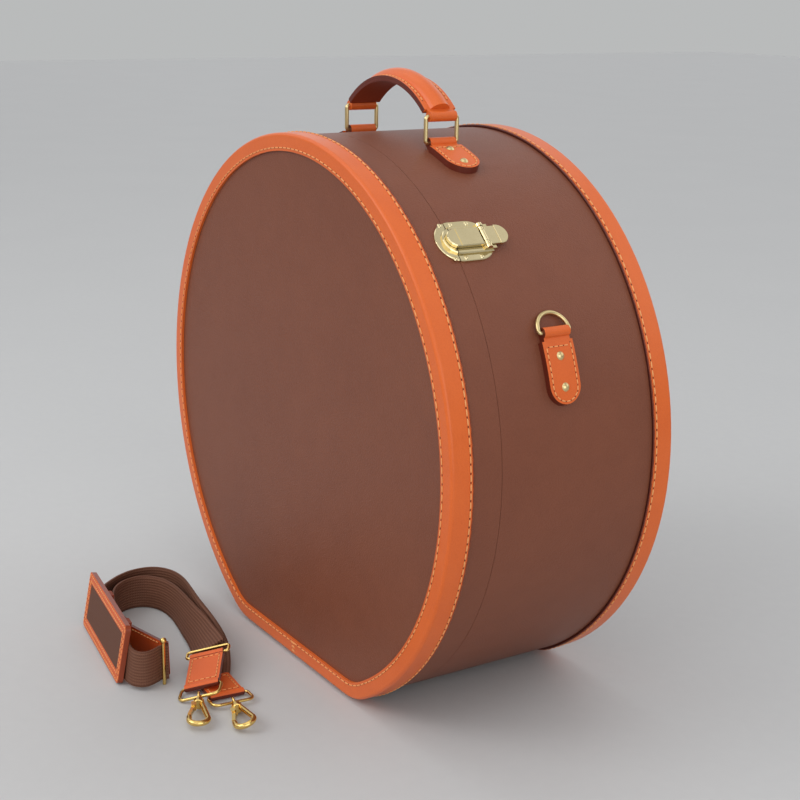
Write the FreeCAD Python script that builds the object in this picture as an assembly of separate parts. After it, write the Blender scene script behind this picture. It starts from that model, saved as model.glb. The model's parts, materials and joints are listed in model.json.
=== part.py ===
"""Round hat box with a flat base, a front lid, a top handle, two latches, two D-rings and a loose strap.

Millimetres. +Z is up, X runs across the round face, Y runs from the lid (front) to the back panel.
The origin is on the standing surface, below the middle of the box.
"""
import FreeCAD, Part
import math
import os

Vec = FreeCAD.Vector
X_AXIS = Vec(1, 0, 0)
Y_AXIS = Vec(0, 1, 0)
Z_AXIS = Vec(0, 0, 1)

# ---- driving sizes of the box ----
case_radius = 215.0           # outside of the leatherette on the round wall
flat_drop = 194.0             # from the middle of the round wall down to the flat base
corner_radius = 53.4          # between the round wall and the flat base
case_depth = 186.0            # over the leatherette of the two round faces
lid_depth = 39.7              # from the front face to the seam
foot_height = 4.0
foot_radius = 6.0
foot_x = 78.0
foot_y = (-17.0, 56.0)
cover_thick = 1.0
board_thick = 3.0
lining_thick = 0.8
seam_gap = 0.3

# ---- leather trim on the two round edges ----
trim_thick = 2.0
trim_on_wall = 15.5
trim_on_face = 11.2
trim_round = 2.6

# ---- locating collar ----
collar_thick = 1.8
collar_in_case = 14.0
collar_in_lid = 8.0
collar_clearance = 0.5

# ---- handle and its rings ----
handle_line_y = -1.5
ring_half_spacing = 56.5
ring_wire = 3.2
ring_width = 27.0
ring_height = 19.0
ring_corner = 2.1
ring_lift = 4.6               # lower bar above the wall, measured straight up
handle_rise = 24.0
handle_width = 27.0
handle_edge_thick = 4.0
handle_ridge = 5.5
handle_ridge_half = 8.5
under_thick = 1.6
loop_width = 22.6
loop_leather = 2.2
wire_clearance = 0.08

# ---- handle tabs and D-ring tabs ----
tab_thick = 4.8
handle_tab_width = 27.5
handle_tab_tip_arc = 97.0
handle_rivet_arcs = (68.0, 87.0)
tab_neck = 6.0                # narrow stretch beside the wire
rivet_radius = 3.1
rivet_dome = 1.5
shank_radius = 1.3
dring_wire = 3.0
dring_half_width = 12.75
dring_bar_arc = 237.6
dring_bar_lift = 4.2
dring_tab_width = 25.6
dring_tab_tip_arc = 287.0
dring_loop_width = 21.6
dring_rivet_arcs = (254.0, 275.0)
dring_corner = 1.9
dring_wall_gap = 0.35
dring_line_y = 0.5

# ---- latches ----
latch_arc = 163.3
latch_width = 33.0
latch_front = 27.5            # distances behind the front face
latch_rear = 73.0
flange_top = 1.2
step_width = 22.8
step_front = 32.3
step_rear = 69.0
step_top = 3.1
claw_width = 14.8
claw_front = 34.2
claw_rear = 61.6
claw_bottom = 3.4
claw_top = 6.2
claw_skin = 1.0
claw_groove_y = 42.7
latch_pin_y = 64.6
latch_pin_h = 4.5
latch_pin_radius = 1.0
knuckle_radius = 1.9
lever_knuckle_half = 4.4
claw_knuckle_half = 7.2
ear_half_gap = 7.7
ear_thick = 2.4
tongue_bend_y = 75.0
tongue_bottom = 4.0
tongue_top = 5.6
lip_radius = 7.8
pin_clearance = 0.05
post_clearance = 0.35

# ---- hinges under the flat base ----
hinge_x = 46.0
hinge_width = 32.0
hinge_leaf = 14.0
hinge_thick = 0.9
hinge_axis_drop = 1.8         # pin axis below the flat base
hinge_knuckle = 1.7
hinge_pin_radius = 0.8
hinge_joint_gap = 0.2
small_rivet_radius = 1.7
small_rivet_dome = 0.7

# ---- shoulder strap, lying in front of the box ----
web_width = 29.0
web_thick = 1.8
web_spans_per_stop = 3
pad_corner_at = (-144.0, -217.0, 1.3)    # lower front corner at the left end
pad_turn = -8.5                           # degrees about Z
pad_length = 122.0
pad_height = 47.0
pad_thick = 4.0
pad_border = 8.5
pad_corner = 4.0
pad_lean = 10.5
inset_depth = 1.0
keeper_width = 10.0
keeper_thick = 1.4
keeper_gap = 0.5
keeper_places = (40.0, 98.0)
web_in_pad = 18.0                         # middle of the webbing above the pad's lower edge
link_start = (-80.0, -209.6, 15.2)
link_end = (-14.6, -198.4, 18.4)
link_bore_gap = 0.8
link_thick = 2.4
link_width = 26.0
slider_front = (-8.0, -202.9)
slider_foot = 1.5
slider_height = 38.0
slider_wire = 2.0
slider_bar_radius = 1.35
slider_head_radius = 2.4
strap_tab_thick = 3.2
strap_tab_width = 27.0
tab_a_top = (-8.5, -166.2, 15.8)
tab_a_run = (30.0, -18.6, -8.4)
tab_a_across = (0.655, 0.713, 0.25)
tab_b_top = (4.6, -169.0, 3.0)
tab_b_run = (31.9, -2.8, 0.0)
tab_b_across = (0.1, 1.0, 0.0)
tab_bore_gap = 0.35
tab_loop_wall = 1.3
oval_wire = 2.4
oval_half_long = 16.0
oval_half_short = 8.2
oval_corner = 5.0
ring_a_fall = -8.0
ring_b_fall = -3.0
ring_play = 0.12
square_half = 17.2
square_corner = 2.4
square_depth = 7.6
hook_a_along = (0.905, -0.42, 0.0)
hook_a_across = (0.42, 0.905, 0.0)
hook_b_along = (0.97, -0.24, 0.06)
hook_b_across = (0.2, 0.85, 0.28)
hook_length = 44.0
hook_wire = 4.2
hook_bow_radius = 6.9
eye_radius = 3.3
eye_wire = 2.0
stem_radius = 1.5
stem_in_barrel = 3.5
barrel_start = 7.0
barrel_length = 5.5
barrel_radius = 4.1
gate_pivot_x = 15.6
gate_pivot_y = -3.6
gate_end_x = 29.5
gate_half = 1.5
gate_pin_radius = 0.7
ear_plate = 0.9

# Stops of the two webbing lengths: x, y, z of the middle, and the lean from upright in degrees.
inner_route = [
    (-15.6, -162.0, 17.4, -62), (-28, -158.5, 15.6, -48), (-42, -155.6, 15.0, -36), (-58, -152.4, 14.9, -28),
    (-76, -150.5, 14.9, -21), (-97, -147.5, 14.9, -15), (-119, -145.2, 14.9, -10), (-138, -146.8, 14.9, -6),
    (-151, -154, 14.9, -2), (-156, -165, 14.9, 2), (-152, -180, 14.9, 4), (-138, -193, 14.9, 4),
    (-115, -201, 14.9, 3), (-92, -205, 14.9, 0), (-74, -205.2, 14.9, 0),
]
outer_route = [
    (0.6, -167.6, 3.0, -89), (-9, -161.5, 4.2, -78), (-24, -154.0, 8.6, -61), (-40, -149.8, 11.6, -42),
    (-60, -146.5, 14.6, -28), (-84, -142.6, 16.4, -15), (-108, -137, 17.0, -8), (-132, -132.5, 17.0, -4),
    (-152, -134.5, 17.0, 0), (-165, -145, 17.0, 3), (-168, -162, 17.2, 8), (-161.5, -179, 17.6, 10),
    (-150.5, -193.5, 18.0, 11), (-140.0, -205.0, 18.0, 10.8), (-127.0, -210.85, 18.0, 10.5),
    (-110.0, -213.4, 18.0, 10.5), (-90.0, -216.4, 18.0, 10.5), (-70.0, -219.38, 18.0, 10.5),
    (-50.0, -222.4, 18.0, 10.5), (-32.0, -225.07, 18.0, 10.5), (-12.5, -227.4, 17.8, 6),
    (-4.6, -220.5, 17.6, 2), (-6.6, -211.0, 17.6, 0), (-12.1, -203.0, 17.6, 0), (-9.0, -198.4, 17.6, 0),
]

# ---- worked-out places ----
base_z = foot_height
centre_z = base_z + flat_drop
front_y = -case_depth / 2
back_y = case_depth / 2
seam_y = front_y + lid_depth
wall_top_z = centre_z + case_radius
corner_x = math.sqrt((case_radius - corner_radius) ** 2 - (flat_drop - corner_radius) ** 2)
wall_in = cover_thick + board_thick
lining_in = wall_in + lining_thick


def save(shape, node):
    """Write one sub-part and report its volume."""
    if shape.ShapeType == "Compound" and len(shape.Solids) == 1:
        shape = shape.Solids[0]
    shape.exportStep("parts/" + node + ".step")
    nodes[node] = shape
    print(f"{node:24s} solids {len(shape.Solids)} volume {shape.Volume:10.1f} valid {shape.isValid()}")


def group(shapes):
    """Separate solids that share one node."""
    solids = []
    for shape in shapes:
        solids.extend(shape.Solids)
    return Part.makeCompound(solids)


def mirrored(shape):
    """The same piece on the other side of the box."""
    return shape.mirror(Vec(0, 0, 0), X_AXIS)


def turned(shape, degrees):
    """Turn a piece made on top of the wall round the middle of the box, towards +X."""
    copy = shape.copy()
    copy.rotate(Vec(0, 0, centre_z), Y_AXIS, degrees)
    return copy


def arc_angle(arc):
    """Degrees from the top for a length measured along the wall."""
    return math.degrees(arc / case_radius)


# ---------------------------------------------------------------- outlines of the case

def d_wire(grow, y):
    """Round outline with a flat base, grown outwards by grow, at depth y."""
    radius = case_radius + grow
    corner = corner_radius + grow
    flat_z = base_z - grow
    reach = math.hypot(corner_x, flat_drop - corner_radius)
    out_x = corner_x / reach
    out_z = -(flat_drop - corner_radius) / reach
    corner_z = base_z + corner_radius
    right = Vec(radius * out_x, y, centre_z + radius * out_z)
    left = Vec(-right.x, y, right.z)
    half = math.atan2(out_x, -out_z) / 2
    mid_right = Vec(corner_x + corner * math.sin(half), y, corner_z - corner * math.cos(half))
    mid_left = Vec(-mid_right.x, y, mid_right.z)
    flat_right = Vec(corner_x, y, flat_z)
    flat_left = Vec(-corner_x, y, flat_z)
    edges = [
        Part.Arc(left, Vec(0, y, centre_z + radius), right).toShape(),
        Part.Arc(right, mid_right, flat_right).toShape(),
        Part.LineSegment(flat_right, flat_left).toShape(),
        Part.Arc(flat_left, mid_left, left).toShape(),
    ]
    return Part.Wire(edges)


def d_slab(grow, y_from, y_to):
    """Solid with the case outline between two depths."""
    return Part.Face(d_wire(grow, y_from)).extrude(Vec(0, y_to - y_from, 0))


def d_band(outer, inner, y_from, y_to):
    """Hoop with the case outline."""
    return d_slab(outer, y_from, y_to).cut(d_slab(inner, y_from, y_to))


# ---------------------------------------------------------------- small builders

def cylinder(radius, start, direction, length):
    return Part.makeCylinder(radius, length, start, direction)


def box_between(low, high):
    return Part.makeBox(high[0] - low[0], high[1] - low[1], high[2] - low[2], Vec(*low))


def wire_sweep(edges, radius):
    """Round wire along a path of lines and tangent arcs."""
    path = Part.Wire(edges)
    start = path.OrderedEdges[0]
    origin = start.valueAt(start.FirstParameter)
    tangent = start.tangentAt(start.FirstParameter)
    if not origin.isEqual(path.OrderedVertexes[0].Point, 1e-6):
        origin = path.OrderedVertexes[0].Point
    section = Part.Wire([Part.makeCircle(radius, origin, tangent)])
    return path.makePipeShell([section], True, False)


def rounded_loop(corners, radius):
    """Closed path through corner points, each corner turned by an arc; it starts in the middle of a side."""
    count = len(corners)
    edges = []
    start = (corners[-1] + corners[0]) * 0.5
    here = start
    for i in range(count):
        corner = corners[i]
        before = (corners[i - 1] - corner).normalize()
        after = (corners[(i + 1) % count] - corner).normalize()
        half = before.getAngle(after) / 2
        back = radius / math.tan(half)
        enter = corner + before * back
        leave = corner + after * back
        inward = (before + after).normalize()
        middle = corner + inward * (radius / math.sin(half) - radius)
        edges.append(Part.LineSegment(here, enter).toShape())
        edges.append(Part.Arc(enter, middle, leave).toShape())
        here = leave
    edges.append(Part.LineSegment(here, start).toShape())
    return edges


def wire_loop(corners, corner, wire):
    """Closed ring of round wire."""
    return wire_sweep(rounded_loop(corners, corner), wire / 2)


def dome_rivet(top_point, direction, radius, dome, shank, depth):
    """Domed head on top_point, facing direction, with its shank going the other way."""
    ball = (radius ** 2 + dome ** 2) / (2 * dome)
    sphere = Part.makeSphere(ball, top_point - direction * (ball - dome))
    keep = cylinder(radius * 1.2, top_point, direction, dome * 1.5)
    head = sphere.common(keep)
    stem = cylinder(shank, top_point - direction * depth, direction, depth)
    return head.fuse(stem).removeSplitter()


def stadium_wire(half_width, front, rear, z, round_front=True, round_rear=True):
    """Outline in a level plane, round at the ends that are asked for."""
    y0 = front + half_width if round_front else front
    y1 = rear - half_width if round_rear else rear
    edges = [Part.LineSegment(Vec(half_width, y0, z), Vec(half_width, y1, z)).toShape()]
    if round_rear:
        edges.append(Part.Arc(Vec(half_width, y1, z), Vec(0, rear, z), Vec(-half_width, y1, z)).toShape())
    else:
        edges.append(Part.LineSegment(Vec(half_width, y1, z), Vec(-half_width, y1, z)).toShape())
    edges.append(Part.LineSegment(Vec(-half_width, y1, z), Vec(-half_width, y0, z)).toShape())
    if round_front:
        edges.append(Part.Arc(Vec(-half_width, y0, z), Vec(0, front, z), Vec(half_width, y0, z)).toShape())
    else:
        edges.append(Part.LineSegment(Vec(-half_width, y0, z), Vec(half_width, y0, z)).toShape())
    return Part.Wire(edges)


def stadium(half_width, front, rear, z_from, z_to, round_front=True, round_rear=True):
    face = Part.Face(stadium_wire(half_width, front, rear, z_from, round_front, round_rear))
    return face.extrude(Vec(0, 0, z_to - z_from))


def soften_top(solid, z, size):
    """Chamfer the edges that lie at height z."""
    chosen = []
    for edge in solid.Edges:
        if abs(edge.BoundBox.ZMin - z) < 1e-4 and abs(edge.BoundBox.ZMax - z) < 1e-4:
            chosen.append(edge)
    return solid.makeChamfer(size, chosen)


# ---------------------------------------------------------------- lid and case shells

def edge_trim(face_y, inward):
    """L-section leather hoop over one round edge. inward is +1 on the front edge and -1 on the back edge."""
    outside = face_y - inward * trim_thick
    wall_end = face_y + inward * trim_on_wall
    low, high = min(outside, wall_end), max(outside, wall_end)
    hoop = d_slab(trim_thick, low, high)
    low, high = min(face_y, wall_end), max(face_y, wall_end)
    hoop = hoop.cut(d_slab(0, low, high))
    low, high = min(face_y, outside), max(face_y, outside)
    hoop = hoop.cut(d_slab(-trim_on_face, low, high))
    rim = []
    for edge in hoop.Edges:
        box = edge.BoundBox
        level = abs(box.YMin - outside) < 1e-4 and abs(box.YMax - outside) < 1e-4
        if level and not_inside_face(edge):
            rim.append(edge)
    return hoop.makeFillet(trim_round, rim)


def not_inside_face(edge):
    """True for the outer edge of the trim's face, false for its inner edge."""
    point = edge.valueAt((edge.FirstParameter + edge.LastParameter) / 2)
    from_middle = math.hypot(point.x, point.z - centre_z)
    return from_middle > case_radius - trim_on_face / 2 or point.z < base_z + trim_on_face / 2


def make_shells():
    lid_end = seam_y - seam_gap / 2
    case_start = seam_y + seam_gap / 2
    pieces = {
        "lid_front_cover": d_slab(0, front_y, front_y + cover_thick),
        "lid_wall_cover": d_band(0, -cover_thick, front_y + cover_thick, lid_end),
        "lid_wall": d_band(-cover_thick, -wall_in, front_y + cover_thick, lid_end),
        "lid_front_panel": d_slab(-wall_in, front_y + cover_thick, front_y + wall_in),
        "lid_lining_front": d_slab(-wall_in, front_y + wall_in, front_y + lining_in),
        "lid_lining_wall": d_band(-wall_in, -lining_in, front_y + lining_in, lid_end),
        "front_trim": edge_trim(front_y, 1),
        "case_back_cover": d_slab(0, back_y - cover_thick, back_y),
        "case_wall_cover": d_band(0, -cover_thick, case_start, back_y - cover_thick),
        "case_wall": d_band(-cover_thick, -wall_in, case_start, back_y - cover_thick),
        "case_back_panel": d_slab(-wall_in, back_y - wall_in, back_y - cover_thick),
        "case_lining_back": d_slab(-wall_in, back_y - lining_in, back_y - wall_in),
        "case_lining_wall": d_band(-wall_in, -lining_in, case_start, back_y - lining_in),
        "back_trim": edge_trim(back_y, -1),
    }
    in_case = d_band(-lining_in, -lining_in - collar_thick, case_start, case_start + collar_in_case)
    in_lid = d_band(-lining_in - collar_clearance, -lining_in - collar_thick,
                    seam_y - collar_in_lid, case_start)
    pieces["locating_collar"] = in_case.fuse(in_lid).removeSplitter()
    return pieces


def make_feet():
    """Domed metal studs with flat undersides, seated on the base."""
    feet = []
    wall = d_slab(0, front_y, back_y)
    for x in (-foot_x, foot_x):
        for y in foot_y:
            foot = cylinder(foot_radius, Vec(x, y, 0), Z_AXIS, foot_height + 1.5)
            foot = foot.makeFillet(1.6, [edge for edge in foot.Edges if edge.BoundBox.ZMax < 0.01])
            feet.append(foot.cut(wall))
    return group(feet)


# ---------------------------------------------------------------- tabs that hold rings on the wall

def wall_shell(thick, y_from, y_to):
    """Curved plate lying on the round wall."""
    outer = cylinder(case_radius + thick, Vec(0, y_from, centre_z), Y_AXIS, y_to - y_from)
    inner = cylinder(case_radius, Vec(0, y_from, centre_z), Y_AXIS, y_to - y_from)
    return outer.cut(inner)


def tab_on_top(middle_y, lift, length, width, neck_width, wire_radius):
    """Leather folded round a bar above the top of the wall and running away towards +X.

    The bar runs along Y at x = 0, lift above the wall. length reaches from the bar to the round tip.
    """
    bar_z = wall_top_z + lift
    hole = wire_radius + wire_clearance
    loop_out = min(hole + loop_leather, lift)
    half = width / 2
    tip = Part.Arc(Vec(length - half, middle_y - half, 0), Vec(length, middle_y, 0),
                   Vec(length - half, middle_y + half, 0)).toShape()
    low_left = Vec(tab_neck, middle_y - half, 0)
    low_right = Vec(tab_neck, middle_y + half, 0)
    neck_a = Vec(0, middle_y - neck_width / 2, 0)
    neck_b = Vec(0, middle_y + neck_width / 2, 0)
    neck_c = Vec(tab_neck, middle_y + neck_width / 2, 0)
    neck_d = Vec(tab_neck, middle_y - neck_width / 2, 0)
    outline = [
        tip,
        Part.LineSegment(Vec(length - half, middle_y + half, 0), low_right).toShape(),
        Part.LineSegment(low_right, neck_c).toShape(),
        Part.LineSegment(neck_c, neck_b).toShape(),
        Part.LineSegment(neck_b, neck_a).toShape(),
        Part.LineSegment(neck_a, neck_d).toShape(),
        Part.LineSegment(neck_d, low_left).toShape(),
        Part.LineSegment(low_left, Vec(length - half, middle_y - half, 0)).toShape(),
    ]
    face = Part.Face(Part.Wire(Part.sortEdges(outline)[0]))
    face.translate(Vec(0, 0, wall_top_z - 20))
    plate = face.extrude(Vec(0, 0, 40))
    body = wall_shell(tab_thick, middle_y - half - 1, middle_y + half + 1).common(plate)
    loop = cylinder(loop_out, Vec(0, middle_y - neck_width / 2, bar_z), Y_AXIS, neck_width)
    bore = cylinder(hole, Vec(0, middle_y - width, bar_z), Y_AXIS, 2 * width)
    return body.fuse(loop).removeSplitter().cut(bore)


def tab_fasteners(middle_y, arcs):
    """Rivets through a tab, each turned to its own place on the wall."""
    rivets = []
    depth = tab_thick + lining_in
    for arc in arcs:
        head = Vec(0, middle_y, wall_top_z + tab_thick)
        rivet = dome_rivet(head, Z_AXIS, rivet_radius, rivet_dome, shank_radius, depth)
        rivets.append(turned(rivet, arc_angle(arc)))
    return rivets


def ring_bar():
    """Angle and lift of the handle ring's lower bar, measured on the round wall."""
    x = ring_half_spacing
    z = centre_z + math.sqrt(case_radius ** 2 - x ** 2) + ring_lift
    angle = math.degrees(math.atan2(x, z - centre_z))
    lift = math.hypot(x, z - centre_z) - case_radius
    return x, z, angle, lift


def make_handle_tab():
    x, z, angle, lift = ring_bar()
    length = handle_tab_tip_arc - math.radians(angle) * case_radius
    tab = tab_on_top(handle_line_y, lift, length, handle_tab_width, loop_width, ring_wire / 2)
    return turned(tab, angle)


def make_dring_tab():
    length = dring_tab_tip_arc - dring_bar_arc
    tab = tab_on_top(dring_line_y, dring_bar_lift, length, dring_tab_width, dring_loop_width, dring_wire / 2)
    return turned(tab, arc_angle(dring_bar_arc))


def make_dring():
    """Half-round ring lying up the wall from its bar, its crown just off the wall."""
    bar_z = wall_top_z + dring_bar_lift
    y = dring_line_y
    half = dring_half_width
    turn = dring_corner
    height = half + turn
    wall_fall = case_radius - math.sqrt(case_radius ** 2 - height ** 2)
    crown_lift = dring_wire / 2 + dring_wall_gap - wall_fall
    lean = math.asin((dring_bar_lift - crown_lift) / height)
    corner = turn * (1 - math.sqrt(0.5))
    middle = Vec(0, y, bar_z)
    bar_far = Vec(0, y + half - turn, bar_z)
    bar_near = Vec(0, y - half + turn, bar_z)
    bow_far = Vec(-turn, y + half, bar_z)
    bow_near = Vec(-turn, y - half, bar_z)
    edges = [
        Part.LineSegment(middle, bar_far).toShape(),
        Part.Arc(bar_far, Vec(-corner, y + half - corner, bar_z), bow_far).toShape(),
        Part.Arc(bow_far, Vec(-height, y, bar_z), bow_near).toShape(),
        Part.Arc(bow_near, Vec(-corner, y - half + corner, bar_z), bar_near).toShape(),
        Part.LineSegment(bar_near, middle).toShape(),
    ]
    ring = wire_sweep(edges, dring_wire / 2)
    ring.rotate(middle, Y_AXIS, -math.degrees(lean))
    return turned(ring, arc_angle(dring_bar_arc))


# ---------------------------------------------------------------- carrying handle

def make_handle_ring():
    x, z, angle, lift = ring_bar()
    y = handle_line_y
    half = ring_width / 2
    corners = [
        Vec(x, y - half, z),
        Vec(x, y - half, z + ring_height),
        Vec(x, y + half, z + ring_height),
        Vec(x, y + half, z),
    ]
    return wire_loop(corners, ring_corner, ring_wire)


def arch_geometry():
    """Radius, centre height and half angle of the handle's arch, through the two upper ring bars."""
    x, z, angle, lift = ring_bar()
    top_bar = z + ring_height
    radius = (x ** 2 + handle_rise ** 2) / (2 * handle_rise)
    return radius, top_bar + handle_rise - radius, math.degrees(math.asin(x / radius)), top_bar


def arch_solid(section, half_angle):
    """Turn a section drawn at the top of the arch to both sides."""
    radius, centre, limit, top_bar = arch_geometry()
    face = Part.Face(section)
    face.rotate(Vec(0, 0, centre), Y_AXIS, -half_angle)
    return face.revolve(Vec(0, 0, centre), Y_AXIS, 2 * half_angle)


def ridge_wire(low_edge, low_middle, high_edge, high_middle, half_low, half_high, ridge_low, ridge_high):
    """Section with a raised middle: heights are at the edges and over the ridge."""
    y = handle_line_y
    lower = [Vec(0, y - half_low, low_edge)]
    if ridge_low > 0:
        lower += [Vec(0, y - ridge_low, low_edge), Vec(0, y, low_middle), Vec(0, y + ridge_low, low_edge)]
    lower += [Vec(0, y + half_low, low_edge)]
    edges = []
    if ridge_low > 0:
        edges.append(Part.LineSegment(lower[0], lower[1]).toShape())
        edges.append(Part.Arc(lower[1], lower[2], lower[3]).toShape())
        edges.append(Part.LineSegment(lower[3], lower[4]).toShape())
    else:
        edges.append(Part.LineSegment(lower[0], lower[1]).toShape())
    up = [Vec(0, y + half_high, high_edge), Vec(0, y + ridge_high, high_edge), Vec(0, y, high_middle),
          Vec(0, y - ridge_high, high_edge), Vec(0, y - half_high, high_edge)]
    edges.append(Part.LineSegment(lower[-1], up[0]).toShape())
    edges.append(Part.LineSegment(up[0], up[1]).toShape())
    edges.append(Part.Arc(up[1], up[2], up[3]).toShape())
    edges.append(Part.LineSegment(up[3], up[4]).toShape())
    edges.append(Part.LineSegment(up[4], lower[0]).toShape())
    return Part.Wire(edges)


def make_handle():
    """Top leather with its two folded loops, the filler under the ridge, and the under leather."""
    radius, centre, limit, top_bar = arch_geometry()
    x, z, angle, lift = ring_bar()
    crown = centre + radius
    bottom = crown - handle_edge_thick / 2
    top = crown + handle_edge_thick / 2
    middle = bottom + under_thick
    half = handle_width / 2
    loop_out = ring_wire / 2 + wire_clearance + loop_leather
    stop = limit - math.degrees((loop_out + 1.2) / radius)
    core_stop = stop - 6
    skin = top - middle
    under = arch_solid(rectangle_wire(half, bottom, middle), stop)
    core_low = middle + skin * 0.55
    core = arch_solid(lens_wire(handle_ridge_half - 1.5, core_low, top + handle_ridge - skin), core_stop)
    ridge = ridge_wire(middle, middle, top, top + handle_ridge, half, half, 0, handle_ridge_half)
    leather = arch_solid(ridge, stop).cut(core)
    loops = []
    for side in (-1, 1):
        loop = cylinder(loop_out, Vec(side * x, handle_line_y - loop_width / 2, top_bar), Y_AXIS, loop_width)
        neck = box_between((-0.5, handle_line_y - loop_width / 2, middle),
                           (math.radians(limit - stop) * radius + 0.8, handle_line_y + loop_width / 2, top))
        neck.rotate(Vec(0, 0, centre), Y_AXIS, stop)
        if side < 0:
            neck = mirrored(neck)
        loops.append(loop)
        loops.append(neck)
    for piece in loops:
        leather = leather.fuse(piece)
    leather = leather.removeSplitter().cut(under)
    for side in (-1, 1):
        bore = cylinder(ring_wire / 2 + wire_clearance, Vec(side * x, handle_line_y - half, top_bar),
                        Y_AXIS, handle_width)
        leather = leather.cut(bore)
    return leather, core, under


def rectangle_wire(half, low, high):
    y = handle_line_y
    corners = [Vec(0, y - half, low), Vec(0, y + half, low), Vec(0, y + half, high), Vec(0, y - half, high)]
    return Part.makePolygon(corners + [corners[0]])


def lens_wire(half, low, high):
    """Flat-bottomed hump."""
    y = handle_line_y
    hump = Part.Arc(Vec(0, y + half, low), Vec(0, y, high), Vec(0, y - half, low)).toShape()
    floor = Part.LineSegment(Vec(0, y - half, low), Vec(0, y + half, low)).toShape()
    return Part.Wire([floor, hump])


# ---------------------------------------------------------------- latches, made on top of the wall

def latch_y(distance):
    return front_y + distance


def latch_z(height):
    return wall_top_z + height


def latch_plate(low_y, high_y):
    """Stretch of the plate and of its raised step between two depths, shaped to the wall."""
    plate = stadium(latch_width / 2, latch_y(latch_front), latch_y(latch_rear), latch_z(-1.2),
                    latch_z(flange_top))
    plate = soften_top(plate, latch_z(flange_top), 0.45)
    step = stadium(step_width / 2, latch_y(step_front), latch_y(step_rear), latch_z(flange_top - 0.2),
                   latch_z(step_top), True, False)
    plate = plate.fuse(soften_top(step, latch_z(step_top), 0.7))
    wall = cylinder(case_radius, Vec(0, front_y, centre_z), Y_AXIS, case_depth)
    stretch = box_between((-latch_width, low_y, latch_z(-5)), (latch_width, high_y, latch_z(5)))
    return plate.cut(wall).common(stretch)


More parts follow.
